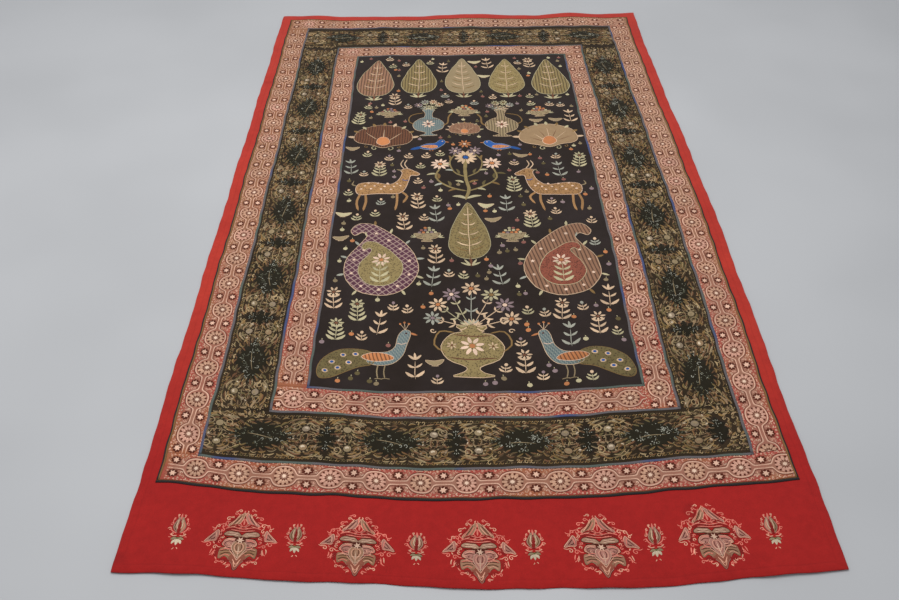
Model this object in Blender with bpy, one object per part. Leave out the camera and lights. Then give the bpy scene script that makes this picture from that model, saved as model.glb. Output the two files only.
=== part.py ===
"""An embroidered hanging laid out flat: a red wool cloth with a framed panel of cloth bands sewn on it.

Lengths are metres. A place on the cloth as it was cut is given as across (u, to the right) and
along (v, away from the skirt), both from the middle. The function lay says where it lies.
"""
from collections import namedtuple
from math import cos, pi, sin

import bmesh
import bpy

Ring = namedtuple("Ring", "left right bottom top")
Fold = namedtuple("Fold", "across along half_width half_length lift push")

# The red cloth as cut, and the seams between the panel's bands, from the outside in
CLOTH = Ring(-0.740, 0.740, -1.310, 1.295)
PIPING_LINE = Ring(-0.701, 0.701, -1.086, 1.254)
OUTER_SEAM = Ring(-0.621, 0.621, -1.007, 1.180)
INNER_SEAM = Ring(-0.480, 0.483, -0.860, 1.006)
FIELD_SEAM = Ring(-0.398, 0.411, -0.781, 0.931)

# Trim widths
PIPING_WIDTH = 0.008
RIBBON_WIDTH = 0.007

# Thicknesses, and the gap kept between pieces that are sewn together
GROUND_THICK = 0.0015
PANEL_THICK = 0.0012
RIBBON_THICK = 0.0010
PIPING_THICK = 0.0020
GAP = 0.0003

# Heights of each layer's underside over the floor
PANEL_LOW = GROUND_THICK + GAP
RIBBON_LOW = PANEL_LOW + PANEL_THICK + GAP

# How the cloth lies out of true
LEAN = 0.0115
HEM_BOW = 0.055
BOW_START = 0.30
BOW_FULL = -0.80
BOW_HALF_WIDTH = 0.740
HEM_EASE = 0.015
HEM_SWAY = 0.007
RIGHT_BOW = 0.012
RIGHT_BOW_MIDDLE = -0.10
RIGHT_BOW_REACH = 1.10
WAVER_ALONG = 0.0022
WAVER_ACROSS = 0.0016
WAVER_ALONG_PITCH = 0.37
WAVER_ACROSS_PITCH = 0.47

# Soft rises: where, how far each reaches, its lift, and how far it pushes the cloth up the floor
FOLDS = (
    Fold(-0.76, 1.30, 0.12, 0.12, 0.0010, 0.008),
    Fold(-0.60, 1.30, 0.17, 0.15, 0.0035, 0.012),
    Fold(0.05, 1.30, 0.24, 0.13, 0.0030, 0.010),
    Fold(0.48, 1.30, 0.15, 0.15, 0.0035, 0.011),
    Fold(0.70, 1.30, 0.16, 0.12, 0.0015, 0.009),
    Fold(-0.56, -1.32, 0.20, 0.09, 0.0020, 0.0),
    Fold(0.66, -1.32, 0.18, 0.10, 0.0025, 0.0),
    Fold(0.54, -1.17, 0.16, 0.12, 0.0015, 0.0),
    Fold(-0.14, -1.19, 0.24, 0.10, 0.0012, 0.0),
)

# How many parts each stretch between neighbouring seams is split into
ACROSS_PARTS = (1, 2, 3, 2, 18, 2, 3, 2, 1)
ALONG_PARTS = (5, 2, 3, 2, 28, 2, 4, 2, 1)
LEAST_STEP = 0.008

# Colours, linear, and roughness of each cloth
RED_WOOL = ((0.445, 0.019, 0.017), 0.90)
BRICK_WOOL = ((0.440, 0.125, 0.078), 0.88)
UMBER_WOOL = ((0.022, 0.019, 0.015), 0.90)
BLACK_WOOL = ((0.018, 0.014, 0.015), 0.90)
SLATE_SILK = ((0.110, 0.118, 0.180), 0.55)
DARK_SILK = ((0.014, 0.013, 0.013), 0.60)


def smooth(t):
    """A soft ramp from 0 to 1 as t goes from 0 to 1."""
    t = min(max(t, 0.0), 1.0)
    return t * t * (3.0 - 2.0 * t)


def mound(offset, reach):
    """A soft mound: 1 at no offset, 0 at the reach and past it."""
    return cos(pi / 2 * offset / reach) ** 2 if abs(offset) < reach else 0.0


def hem_drop(u, v):
    """How far the lower part of the cloth bows towards the skirt's end."""
    to_hem = smooth((PIPING_LINE.bottom - v) / (PIPING_LINE.bottom - CLOTH.bottom))
    depth = HEM_BOW * smooth((BOW_START - v) / (BOW_START - BOW_FULL)) - HEM_EASE * to_hem
    sway = HEM_SWAY * to_hem * sin(pi * u / BOW_HALF_WIDTH)
    return depth * cos(pi / 2 * u / BOW_HALF_WIDTH) + sway


def side_drift(u, v):
    """How far a place lies to the right of where it was cut."""
    bow = RIGHT_BOW * mound(v - RIGHT_BOW_MIDDLE, RIGHT_BOW_REACH)
    waver = WAVER_ACROSS * sin(2 * pi * (v + u) / WAVER_ACROSS_PITCH)
    return bow * sin(pi / 2 * max(u, 0.0) / CLOTH.right) + waver - LEAN * v


def loose_place(u, v):
    """Where a place lies on the floor, before the laid cloth is centred, and its lift."""
    rises = [(fold, mound(u - fold.across, fold.half_width) * mound(v - fold.along, fold.half_length))
             for fold in FOLDS]
    push = sum(fold.push * share for fold, share in rises)
    lift = sum(fold.lift * share for fold, share in rises)
    waver = WAVER_ALONG * sin(2 * pi * (u + v / 3) / WAVER_ALONG_PITCH)
    return u + side_drift(u, v), v - hem_drop(u, v) + push + waver, lift


def split_evenly(marks, parts):
    """The marks, with each stretch between two neighbours split into its number of parts."""
    lines = [marks[0]]
    for start, end, count in zip(marks, marks[1:], parts):
        lines += [start + (end - start) * (k + 1) / count for k in range(count)]
    return lines


RINGS = (CLOTH, PIPING_LINE, OUTER_SEAM, INNER_SEAM, FIELD_SEAM)
ACROSS_LINES = split_evenly(
    [ring.left for ring in RINGS] + [ring.right for ring in reversed(RINGS)], ACROSS_PARTS)
ALONG_LINES = split_evenly(
    [ring.bottom for ring in RINGS] + [ring.top for ring in reversed(RINGS)], ALONG_PARTS)


def laid_middle():
    """The middle of the laid cloth's box, which the origin goes under."""
    places = [loose_place(u, v) for u in ACROSS_LINES for v in ALONG_LINES]
    xs = [x for x, y, lift in places]
    ys = [y for x, y, lift in places]
    return (min(xs) + max(xs)) / 2, (min(ys) + max(ys)) / 2


MIDDLE_X, MIDDLE_Y = laid_middle()


def lay(u, v, height):
    """Where a point at this height over the cut cloth's underside lies."""
    x, y, lift = loose_place(u, v)
    return x - MIDDLE_X, y - MIDDLE_Y, height + lift


def lines_within(lines, low, high):
    """The shared lines that fall inside a piece, with the piece's own two edges."""
    inside = [line for line in lines if low + LEAST_STEP < line < high - LEAST_STEP]
    return [low, *inside, high]


def cloth_material(name, finish):
    """One plain material for all the pieces cut from the same cloth."""
    material = bpy.data.materials.get(name)
    if material is None:
        colour, roughness = finish
        material = bpy.data.materials.new(name)
        material.use_nodes = True
        shader = material.node_tree.nodes["Principled BSDF"]
        shader.inputs["Base Color"].default_value = (*colour, 1.0)
        shader.inputs["Roughness"].default_value = roughness
        shader.inputs["Metallic"].default_value = 0.0
    return material


def make_sheet(name, edges, low, thick, material):
    """A cut piece of cloth inside these edges, laid at its height, as one closed solid."""
    us = lines_within(ACROSS_LINES, edges.left, edges.right)
    vs = lines_within(ALONG_LINES, edges.bottom, edges.top)
    columns, rows = len(us) - 1, len(vs) - 1
    bm = bmesh.new()
    bmesh.ops.create_grid(bm, x_segments=columns, y_segments=rows, size=0.5)
    for vert in bm.verts:
        u = us[round((vert.co.x + 0.5) * columns)]
        v = vs[round((vert.co.y + 0.5) * rows)]
        vert.co = (u, v, low)
    bmesh.ops.triangulate(bm, faces=bm.faces[:], quad_method="FIXED")
    upper = bmesh.ops.extrude_face_region(bm, geom=bm.faces[:], use_keep_orig=True)["geom"]
    raised = [part for part in upper if isinstance(part, bmesh.types.BMVert)]
    bmesh.ops.translate(bm, verts=raised, vec=(0.0, 0.0, thick))
    for vert in bm.verts:
        vert.co = lay(*vert.co)
    bmesh.ops.recalc_face_normals(bm, faces=bm.faces[:])
    mesh = bpy.data.meshes.new(name)
    bm.to_mesh(mesh)
    bm.free()
    mesh.materials.append(material)
    piece = bpy.data.objects.new(name, mesh)
    bpy.context.scene.collection.objects.link(piece)
    return piece


def grown(ring, by):
    """The ring moved outwards on all four sides."""
    return Ring(ring.left - by, ring.right + by, ring.bottom - by, ring.top + by)


def strips_between(outer, inner, right_runs_down=False):
    """The four strips between two rings. Top and bottom run through the corners.

    At the lower right the right strip can run down instead, with the bottom strip butted on it.
    """
    bottom_end = inner.right if right_runs_down else outer.right
    right_start = outer.bottom if right_runs_down else inner.bottom
    return {
        "bottom": Ring(outer.left, bottom_end, outer.bottom, inner.bottom),
        "top": Ring(outer.left, outer.right, inner.top, outer.top),
        "left": Ring(outer.left, inner.left, inner.bottom, inner.top),
        "right": Ring(inner.right, outer.right, right_start, inner.top),
    }


def make_band(name, strips, low, thick, material):
    """A framing band of four strips, each a hair smaller than its place."""
    for side, edges in strips.items():
        make_sheet(f"{name}_{side}", grown(edges, -GAP / 2), low, thick, material)


def make_ribbon_ring(name, seam, material):
    """Four ribbons laid over a seam."""
    strips = strips_between(grown(seam, RIBBON_WIDTH / 2), grown(seam, -RIBBON_WIDTH / 2))
    make_band(name, strips, RIBBON_LOW, RIBBON_THICK, material)


def make_hanging():
    """The red cloth, the panel's field and bands, the ribbons over the seams and the piping."""
    red = cloth_material("red_wool", RED_WOOL)
    brick = cloth_material("brick_wool", BRICK_WOOL)
    umber = cloth_material("umber_wool", UMBER_WOOL)
    black = cloth_material("black_wool", BLACK_WOOL)
    slate = cloth_material("slate_silk", SLATE_SILK)
    dark = cloth_material("dark_silk", DARK_SILK)

    panel_edge = grown(PIPING_LINE, -PIPING_WIDTH / 2)
    make_sheet("ground_cloth", CLOTH, 0.0, GROUND_THICK, red)
    make_sheet("centre_field", grown(FIELD_SEAM, -GAP / 2), PANEL_LOW, PANEL_THICK, black)
    inner_strips = strips_between(INNER_SEAM, FIELD_SEAM, right_runs_down=True)
    make_band("inner_border", inner_strips, PANEL_LOW, PANEL_THICK, brick)
    make_band("wide_border", strips_between(OUTER_SEAM, INNER_SEAM), PANEL_LOW, PANEL_THICK, umber)
    make_band("outer_border", strips_between(panel_edge, OUTER_SEAM), PANEL_LOW, PANEL_THICK, brick)
    make_ribbon_ring("field_ribbon", FIELD_SEAM, slate)
    make_ribbon_ring("inner_ribbon", INNER_SEAM, slate)
    make_ribbon_ring("outer_ribbon", OUTER_SEAM, slate)
    piping_strips = strips_between(grown(PIPING_LINE, PIPING_WIDTH / 2), panel_edge)
    make_band("edge_piping", piping_strips, PANEL_LOW, PIPING_THICK, dark)


for old in list(bpy.data.objects):
    bpy.data.objects.remove(old, do_unlink=True)
make_hanging()
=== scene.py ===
"""The finish of an embroidered wool and silk hanging, laid out flat on a pale floor.

Every piece is cut and stitched flat, and then laid: the function laid moves a point from its place
on the cut cloth, given as across (u), along (v) and height, to where it lies. Lengths are metres,
and millimetres inside a motif, which is drawn about its own middle.
"""
from collections import namedtuple
from math import cos, floor, pi, sin
from random import Random

import bmesh
import bpy
import numpy as np
from mathutils import Matrix, Vector
from mathutils.geometry import interpolate_bezier


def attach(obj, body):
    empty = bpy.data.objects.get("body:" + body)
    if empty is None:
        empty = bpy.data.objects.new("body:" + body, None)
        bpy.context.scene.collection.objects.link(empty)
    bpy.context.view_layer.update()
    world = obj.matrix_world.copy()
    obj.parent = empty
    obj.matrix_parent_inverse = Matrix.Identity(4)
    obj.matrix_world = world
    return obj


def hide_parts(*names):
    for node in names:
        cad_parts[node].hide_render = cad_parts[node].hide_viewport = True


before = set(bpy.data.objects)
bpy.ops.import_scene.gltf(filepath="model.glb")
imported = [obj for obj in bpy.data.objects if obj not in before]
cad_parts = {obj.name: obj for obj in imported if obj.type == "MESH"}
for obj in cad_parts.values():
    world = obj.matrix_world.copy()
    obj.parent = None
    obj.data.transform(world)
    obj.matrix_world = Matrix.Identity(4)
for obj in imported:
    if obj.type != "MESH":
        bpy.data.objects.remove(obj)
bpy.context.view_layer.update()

MM = 0.001
Ring = namedtuple("Ring", "left right bottom top")
Fold = namedtuple("Fold", "across along half_width half_length lift push")
Wave = namedtuple("Wave", "across along start size")
Run = namedtuple("Run", "first pitch count")
Spot = namedtuple("Spot", "across along turn slant height", defaults=(0.0, 0.0, 1.0))
Cut = namedtuple("Cut", "piece ring wool low thick step")

# The red cloth as cut, and the seams between the panel's bands, from the outside in
CLOTH = Ring(-0.740, 0.740, -1.310, 1.295)
PIPING_LINE = Ring(-0.701, 0.701, -1.086, 1.254)
OUTER_SEAM = Ring(-0.621, 0.621, -1.007, 1.180)
INNER_SEAM = Ring(-0.480, 0.483, -0.860, 1.006)
FIELD_SEAM = Ring(-0.398, 0.411, -0.781, 0.931)
PIPING_WIDTH = 0.008
RIBBON_WIDTH = 0.007

# Thicknesses and heights over the floor
GROUND_THICK = 0.0015
PANEL_THICK = 0.0012
GAP = 0.0003
PANEL_LOW = GROUND_THICK + GAP
PANEL_TOP = PANEL_LOW + PANEL_THICK
RIBBON_LOW = PANEL_TOP + GAP

# The heights of the ribbons and the piping over their width, and a step along them
RIBBON_HEIGHTS = (0.00035, 0.0009, 0.0010, 0.0009, 0.00035)
PIPING_HEIGHTS = (0.0004, 0.0015, 0.0020, 0.0018, 0.0010, 0.0009, 0.0003)
STRIP_STEP = 0.009

# How the cloth lies out of true
LEAN = 0.0115
HEM_BOW = 0.055
BOW_START = 0.30
BOW_FULL = -0.80
BOW_HALF_WIDTH = 0.740
HEM_EASE = 0.015
HEM_SWAY = 0.007
RIGHT_BOW = 0.012
RIGHT_BOW_MIDDLE = -0.10
RIGHT_BOW_REACH = 1.10
WAVER_ALONG = 0.0022
WAVER_ACROSS = 0.0016
WAVER_ALONG_PITCH = 0.37
WAVER_ACROSS_PITCH = 0.47

# Soft rises: where, how far each reaches, its lift, and how far it pushes the cloth up the floor
FOLDS = (
    Fold(-0.76, 1.30, 0.12, 0.12, 0.0010, 0.008),
    Fold(-0.60, 1.30, 0.17, 0.15, 0.0035, 0.012),
    Fold(0.05, 1.30, 0.24, 0.13, 0.0030, 0.010),
    Fold(0.48, 1.30, 0.15, 0.15, 0.0035, 0.011),
    Fold(0.70, 1.30, 0.16, 0.12, 0.0015, 0.009),
    Fold(-0.56, -1.32, 0.20, 0.09, 0.0020, 0.0),
    Fold(0.66, -1.32, 0.18, 0.10, 0.0025, 0.0),
    Fold(0.54, -1.17, 0.16, 0.12, 0.0015, 0.0),
    Fold(-0.14, -1.19, 0.24, 0.10, 0.0012, 0.0),
)

# Slight unevenness over all of it: how each wave repeats across and along, and its size
EASE = (Wave(0.31, 0.23, 0.4, 0.0007), Wave(-0.17, 0.29, 2.1, 0.0005), Wave(0.12, -0.15, 4.0, 0.0003))
HAND_ACROSS = (Wave(0.21, 0.083, 0.0, 0.0007), Wave(0.067, -0.11, 1.3, 0.0005))
HAND_ALONG = (Wave(0.091, 0.19, 2.2, 0.0007), Wave(-0.12, 0.071, 0.7, 0.0005))

# Stitching and applied cloth, in millimetres
SINK = 0.15
MOST_CROWN = 0.85
CROWN_SHARE = 0.28
PATCH_RISE = 0.45
PATCH_BEVEL = 0.7
SHADE_WIDTH = 2.6
SHADE_CROWN = 0.24
SLICE_STEP = 18.0

# The silk's pattern: the pitch of ribs, cord twists and chain links, how far a twist slants,
# and the width of a row of stitches
RIB_PITCH = 0.0011
TWIST_PITCH = 0.0034
TWIST_REACH = 0.009
LINK_PITCH = 0.0032
ROW_WIDTH = 0.0026

# Colours as seen in daylight, from 0 to 255
SKIRT_RED = (157, 32, 30)
SIDE_RED_AND_SHEEN = (176, 53, 41)
WORN_RED = (140, 28, 28)
STAIN_AND_SHADE_RED = (96, 18, 20)
BRICK = (158, 62, 56)
DUSTY_ORANGE = (134, 86, 52)
BURNT_ORANGE = (154, 90, 62)
SALMON = (150, 107, 90)
FADED_AND_SHEEN_TAN = (150, 115, 91)
ROSETTE_GROUND = (146, 104, 86)
UMBER = (41, 32, 21)
UMBER_FADED = (59, 46, 32)
BLACK_BROWN = (40, 32, 28)
BLACK_FADED = (47, 39, 38)
SLATE = (90, 84, 86)
BRIGHT_BLUE = (56, 68, 110)
GREY_GREEN = (76, 86, 78)
CORD_BLACK = (31, 26, 26)
OLD_GOLD = (128, 92, 48)
PALE = (228, 196, 172)
CREAM = (210, 180, 148)
BISQUE = (212, 176, 152)
BLUSH = (220, 162, 136)
VINE_PINK = (216, 172, 148)
PETAL_TAN = (194, 150, 124)
PETAL_ROSE = (202, 152, 132)
PETAL_BEIGE = (200, 164, 138)
ROSE = (220, 124, 108)
DARK_BROWN = (80, 30, 18)
DAISY_BROWN = (88, 38, 24)
DAISY_PINK = (226, 184, 160)
RUST = (104, 54, 42)
GOLD = (132, 104, 64)
OLIVE = (104, 92, 60)
TAN = (148, 122, 92)
COPPER = (114, 80, 56)
BRONZE = (88, 70, 50)
PALE_GOLD = (176, 152, 112)
WINE_BROWN = (46, 35, 31)
SHADOW_RED = (134, 29, 26)
TAUPE = (150, 112, 88)
DUSTY_ROSE = (160, 110, 98)
FOOT_BROWN = (142, 106, 78)
PALE_TAUPE = (158, 124, 102)
WALNUT = (112, 74, 54)
CLAY = (134, 76, 60)
MAUVE = (146, 96, 86)
KHAKI = (138, 121, 81)
SAND = (146, 128, 98)
ORANGE = (188, 122, 78)
FAWN = (164, 124, 82)
SEA_BLUE = (44, 86, 150)
STEEL = (98, 112, 114)
PLUM = (84, 52, 64)
LAVENDER = (138, 118, 120)
DARK_PATCH = (34, 30, 20)
HEAD_PALE = (204, 186, 160)
HEAD_GREY = (144, 127, 106)
CHALK = (162, 162, 148)
DIM_CHALK = (108, 110, 92)
IVORY = (184, 174, 138)
LEAF_GREEN = (96, 102, 62)
FLOOR_GREY = (169, 171, 174)
FLOOR_PALE = (175, 177, 180)

THREAD, PLAIN, STRIPED, CHECKED, STIPPLED, ZIGZAG = range(6)


def linear(colour):
    """A colour from 0 to 255, as seen, in the linear values that shaders read."""
    parts = [part / 255 for part in colour]
    return [part / 12.92 if part <= 0.04045 else ((part + 0.055) / 1.055) ** 2.4 for part in parts]


# Laying


def smooth(t):
    """A soft ramp from 0 to 1 as t goes from 0 to 1."""
    t = np.clip(t, 0.0, 1.0)
    return t * t * (3.0 - 2.0 * t)


def mound(offset, reach):
    """A soft mound: 1 at no offset, 0 at the reach and past it."""
    return np.where(np.abs(offset) < reach, np.cos(pi / 2 * offset / reach) ** 2, 0.0)


def hem_drop(u, v):
    """How far the lower part of the cloth bows towards the skirt's end."""
    to_hem = smooth((PIPING_LINE.bottom - v) / (PIPING_LINE.bottom - CLOTH.bottom))
    depth = HEM_BOW * smooth((BOW_START - v) / (BOW_START - BOW_FULL)) - HEM_EASE * to_hem
    sway = HEM_SWAY * to_hem * np.sin(pi * u / BOW_HALF_WIDTH)
    return depth * np.cos(pi / 2 * u / BOW_HALF_WIDTH) + sway


def side_drift(u, v):
    """How far a place lies to the right of where it was cut."""
    bow = RIGHT_BOW * mound(v - RIGHT_BOW_MIDDLE, RIGHT_BOW_REACH)
    waver = WAVER_ACROSS * np.sin(2 * pi * (v + u) / WAVER_ACROSS_PITCH)
    return bow * np.sin(pi / 2 * np.maximum(u, 0.0) / CLOTH.right) + waver - LEAN * v


def loose_place(u, v):
    """Where places lie on the floor, before the laid cloth is centred, and their lift."""
    push = lift = 0.0
    for fold in FOLDS:
        share = mound(u - fold.across, fold.half_width) * mound(v - fold.along, fold.half_length)
        push = push + fold.push * share
        lift = lift + fold.lift * share
    waver = WAVER_ALONG * np.sin(2 * pi * (u + v / 3) / WAVER_ALONG_PITCH)
    return u + side_drift(u, v), v - hem_drop(u, v) + push + waver, lift


def laid_middle():
    """The middle of the laid cloth's box, which the origin goes under."""
    across, along = np.meshgrid(np.linspace(CLOTH.left, CLOTH.right, 201),
                                np.linspace(CLOTH.bottom, CLOTH.top, 201))
    x, y, lift = loose_place(across, along)
    return (x.min() + x.max()) / 2, (y.min() + y.max()) / 2


MIDDLE_X, MIDDLE_Y = laid_middle()


def waves(kinds, u, v):
    """The sum of some waves over the cloth."""
    return sum(wave.size * np.sin(2 * pi * (u / wave.across + v / wave.along) + wave.start)
               for wave in kinds)


def laid(points):
    """Points on the cut cloth, as an array of across, along and height, moved to where they lie."""
    u, v, height = np.asarray(points, float).T
    ease = waves(EASE, u, v) + sum(wave.size for wave in EASE)
    x, y, lift = loose_place(u + waves(HAND_ACROSS, u, v), v + waves(HAND_ALONG, u, v))
    return np.stack([x - MIDDLE_X, y - MIDDLE_Y, height + lift + ease], 1)


# Materials


class Shading:
    """Adds and links shader nodes in one node tree."""

    def __init__(self, tree):
        self.tree = tree

    def add(self, kind, settings=None, **inputs):
        """A new node. An input is a socket to link or a value, and _ in its name stands for a space."""
        node = self.tree.nodes.new(kind)
        for name, value in (settings or {}).items():
            setattr(node, name, value)
        for name, value in inputs.items():
            self.feed(node.inputs[name.replace("_", " ")], value)
        return node

    def feed(self, socket, value):
        """Links a socket to an input, or sets its value."""
        if isinstance(value, bpy.types.NodeSocket):
            self.tree.links.new(value, socket)
        elif isinstance(value, (tuple, list)) and socket.type == "RGBA":
            socket.default_value = (*linear(value), 1.0)
        else:
            socket.default_value = value

    def maths(self, operation, *values):
        """The result of one operation on one to three values."""
        node = self.add("ShaderNodeMath", {"operation": operation})
        for socket, value in zip(node.inputs, values):
            self.feed(socket, value)
        return node.outputs[0]

    def times(self, first, second):
        """The product of two values."""
        return self.maths("MULTIPLY", first, second)

    def plus(self, first, second):
        """The sum of two values."""
        return self.maths("ADD", first, second)

    def most(self, first, second):
        """The larger of two values."""
        return self.maths("MAXIMUM", first, second)

    def repeat(self, value, pitch):
        """How far a value is through each length of the pitch, from 0 to 1."""
        return self.maths("FRACT", self.maths("DIVIDE", value, pitch))

    def ramp(self, value, low, high, start=0.0, end=1.0):
        """The value's soft rise from start at low to end at high."""
        node = self.add("ShaderNodeMapRange", {"interpolation_type": "SMOOTHSTEP"}, Value=value,
                        From_Min=low, From_Max=high, To_Min=start, To_Max=end)
        return node.outputs[0]

    def stripe(self, value, rise, fall):
        """1 between a soft rise and a soft fall, and 0 on both sides of them."""
        return self.times(self.ramp(value, *rise), self.ramp(value, *fall))

    def mix(self, share, first, second, blend="MIX"):
        """Two colours mixed."""
        node = self.add("ShaderNodeMix", {"data_type": "RGBA", "blend_type": blend})
        for index, value in ((0, share), (6, first), (7, second)):
            self.feed(node.inputs[index], value)
        return node.outputs[2]

    def shaded(self, colour, light):
        """A colour made lighter or darker."""
        grey = self.add("ShaderNodeCombineColor", Red=light, Green=light, Blue=light).outputs[0]
        return self.mix(1.0, colour, grey, "MULTIPLY")

    def noise(self, scale, detail=2.0, roughness=0.5, stretch=(1.0, 1.0, 1.0)):
        """Soft noise over the piece, from 0 to 1."""
        place = self.add("ShaderNodeTexCoord").outputs["Object"]
        mapped = self.add("ShaderNodeMapping", Vector=place, Scale=stretch)
        node = self.add("ShaderNodeTexNoise", Vector=mapped.outputs[0], Scale=scale, Detail=detail,
                        Roughness=roughness)
        return node.outputs["Fac"]

    def read(self, name, output="Fac"):
        """The piece's own attribute."""
        return self.add("ShaderNodeAttribute", {"attribute_name": name}).outputs[output]


def node_group(name, inputs, outputs, build):
    """A node group made by build. Its sockets named Colour or Faded are colours, the others values."""
    tree = bpy.data.node_groups.new(name, "ShaderNodeTree")
    for way, titles in (("INPUT", inputs), ("OUTPUT", outputs)):
        for title in titles:
            kind = "NodeSocketColor" if title in ("Colour", "Faded") else "NodeSocketFloat"
            tree.interface.new_socket(title, in_out=way, socket_type=kind)
    shading = Shading(tree)
    given = tree.nodes.new("NodeGroupInput").outputs
    result = shading.add("NodeGroupOutput")
    for title, value in build(shading, given).items():
        shading.feed(result.inputs[title], value)
    return tree


def build_nap(shading, given):
    """Fulled wool: soft fading, flecks of fibre and a low nap."""
    fade = shading.ramp(shading.noise(4.0, 3.0, 0.62), 0.36, 0.66)
    fleck = shading.noise(620.0, 3.0, 0.7)
    cloud = shading.noise(55.0, 3.0, 0.6)
    base = shading.mix(shading.times(fade, given["Fading"]), given["Colour"], given["Faded"])
    light = shading.plus(shading.ramp(fleck, 0.25, 0.75, 0.80, 1.08),
                         shading.ramp(cloud, 0.2, 0.8, -0.05, 0.09))
    return {"Colour": shading.shaded(base, light),
            "Height": shading.plus(fleck, shading.times(cloud, 0.8)),
            "Roughness": shading.ramp(fleck, 0.2, 0.8, 0.84, 0.97)}


def build_chain(shading, given):
    """Chain stitch: rows of links that follow a line, each link a small V. Its shade output is painted shade,
    darker in the hollows between links and towards the sides of each row.
    """
    place = shading.maths("DIVIDE", shading.read("across"), given["Row"])
    row = shading.maths("FRACT", shading.plus(place, 0.5))
    aside = shading.maths("ABSOLUTE", shading.maths("SUBTRACT", shading.times(row, 2.0), 1.0))
    run = shading.plus(shading.maths("DIVIDE", shading.read("along"), given["Pitch"]),
                       shading.times(aside, 0.45))
    link = shading.maths("FRACT", run)
    hollow = shading.maths("MINIMUM", shading.ramp(link, 0.0, 0.22), shading.ramp(link, 1.0, 0.86))
    round_row = shading.ramp(aside, 1.0, 0.45)
    shade = shading.times(shading.ramp(hollow, 0.0, 1.0, 0.66, 1.04),
                          shading.ramp(round_row, 0.0, 1.0, 0.74, 1.02))
    return {"Shade": shade, "Height": shading.times(hollow, round_row)}


NAP = node_group("Fulled wool nap", ("Colour", "Faded", "Fading"), ("Colour", "Height", "Roughness"),
                 build_nap)
CHAIN = node_group("Chain stitch", ("Row", "Pitch"), ("Shade", "Height"), build_chain)


def new_material(name):
    """A material with one Principled shader, and its node tree."""
    material = bpy.data.materials.new(name)
    material.use_nodes = True
    return material, Shading(material.node_tree), material.node_tree.nodes["Principled BSDF"]


def finish(shading, shader, colour, roughness, height, bump, depth, gloss):
    """Joins a colour, a roughness and a relief to the shader, and sets its gloss."""
    relief = shading.add("ShaderNodeBump", Strength=bump, Distance=depth, Height=height)
    for title, value in (("Base Color", colour), ("Roughness", roughness), ("Normal", relief.outputs[0]),
                         ("Specular IOR Level", gloss)):
        shading.feed(shader.inputs[title], value)


def use_nap(shading, colour, faded, fading):
    """Places the wool group."""
    return shading.add("ShaderNodeGroup", {"node_tree": NAP}, Colour=colour, Faded=faded,
                       Fading=fading).outputs


def finish_wool(shading, shader, colour, nap, sheen=0.05):
    """Joins the wool group's outputs to the shader."""
    finish(shading, shader, colour, nap["Roughness"], nap["Height"], 0.35, 0.0005, 0.10)
    shader.inputs["Sheen Weight"].default_value = sheen
    shader.inputs["Sheen Roughness"].default_value = 0.45


def red_wool():
    """The red ground cloth: crimson on the skirt and a warmer, lighter red up the sides, partly the cloth's
    own red and partly painted sheen; stained in spots, and darker in the stitched ditch of its hem, which is
    painted shade.
    """
    material, shading, shader = new_material("red_wool")
    # Lighter and warmer up the sides: partly the cloth's own red, partly painted sheen.
    upward = shading.ramp(shading.read("along"), -1.12, -0.55)
    nap = use_nap(shading, shading.mix(upward, SKIRT_RED, SIDE_RED_AND_SHEEN), WORN_RED, 0.30)
    # Painted shade: the colour is darkened along the hem's stitched ditch. The noise spots below are stains.
    ditch = shading.stripe(shading.read("rim"), (0.0165, 0.0185), (0.0215, 0.0195))
    spots = shading.ramp(shading.noise(9.0, 1.0), 0.70, 0.76)
    darker = shading.most(shading.times(ditch, 0.12), shading.times(spots, 0.25))
    finish_wool(shading, shader, shading.mix(darker, nap["Colour"], STAIN_AND_SHADE_RED), nap, 0.10)
    return material


def brick_wool():
    """The narrow bands' cloth: brick red and burnt orange, worn down its middle, and paler up the cloth,
    partly faded and partly painted sheen.
    """
    material, shading, shader = new_material("brick_wool")
    worn = shading.ramp(shading.plus(shading.read("rim"), shading.times(shading.noise(16.0, 2.0), 0.022)),
                        0.014, 0.036)
    edge = shading.mix(shading.ramp(shading.noise(7.0, 2.0), 0.42, 0.60), BRICK, BURNT_ORANGE)
    # Paler towards the top: partly the cloth's fading, partly painted sheen. The same ramp keeps the left
    # side's orange to the upper part.
    upward_fade_and_sheen = shading.ramp(shading.read("along"), -1.00, 0.30, 0.12, 0.95)
    dyed = shading.mix(upward_fade_and_sheen, shading.mix(worn, edge, SALMON), FADED_AND_SHEEN_TAN)
    leftwards = shading.ramp(shading.read("across"), -0.40, -0.48, 0.0, 0.45)
    dyed = shading.mix(shading.times(leftwards, upward_fade_and_sheen), dyed, DUSTY_ORANGE)
    nap = use_nap(shading, dyed, edge, 0.25)
    finish_wool(shading, shader, nap["Colour"], nap)
    return material


def plain_wool(name, colour, faded, fading):
    """A cloth of one dye, faded in places."""
    material, shading, shader = new_material(name)
    nap = use_nap(shading, colour, faded, fading)
    finish_wool(shading, shader, nap["Colour"], nap)
    return material


def slate_silk():
    """Ribbon: slate blue, with brighter blue and grey green stretches, ribbed from edge to edge."""
    material, shading, shader = new_material("slate_silk")
    blue = shading.ramp(shading.noise(5.5, 1.0), 0.55, 0.66)
    green = shading.ramp(shading.noise(8.0, 1.0, stretch=(1.0, 1.0, 3.0)), 0.52, 0.62)
    colour = shading.mix(green, shading.mix(blue, SLATE, BRIGHT_BLUE), GREY_GREEN)
    ribs = shading.maths("SINE", shading.times(shading.read("along"), 2 * pi / RIB_PITCH))
    finish(shading, shader, shading.shaded(colour, shading.ramp(ribs, -1.0, 1.0, 0.86, 1.06)),
           shading.ramp(shading.noise(90.0), 0.3, 0.7, 0.45, 0.62), ribs, 0.4, 0.0003, 0.35)
    return material


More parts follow.
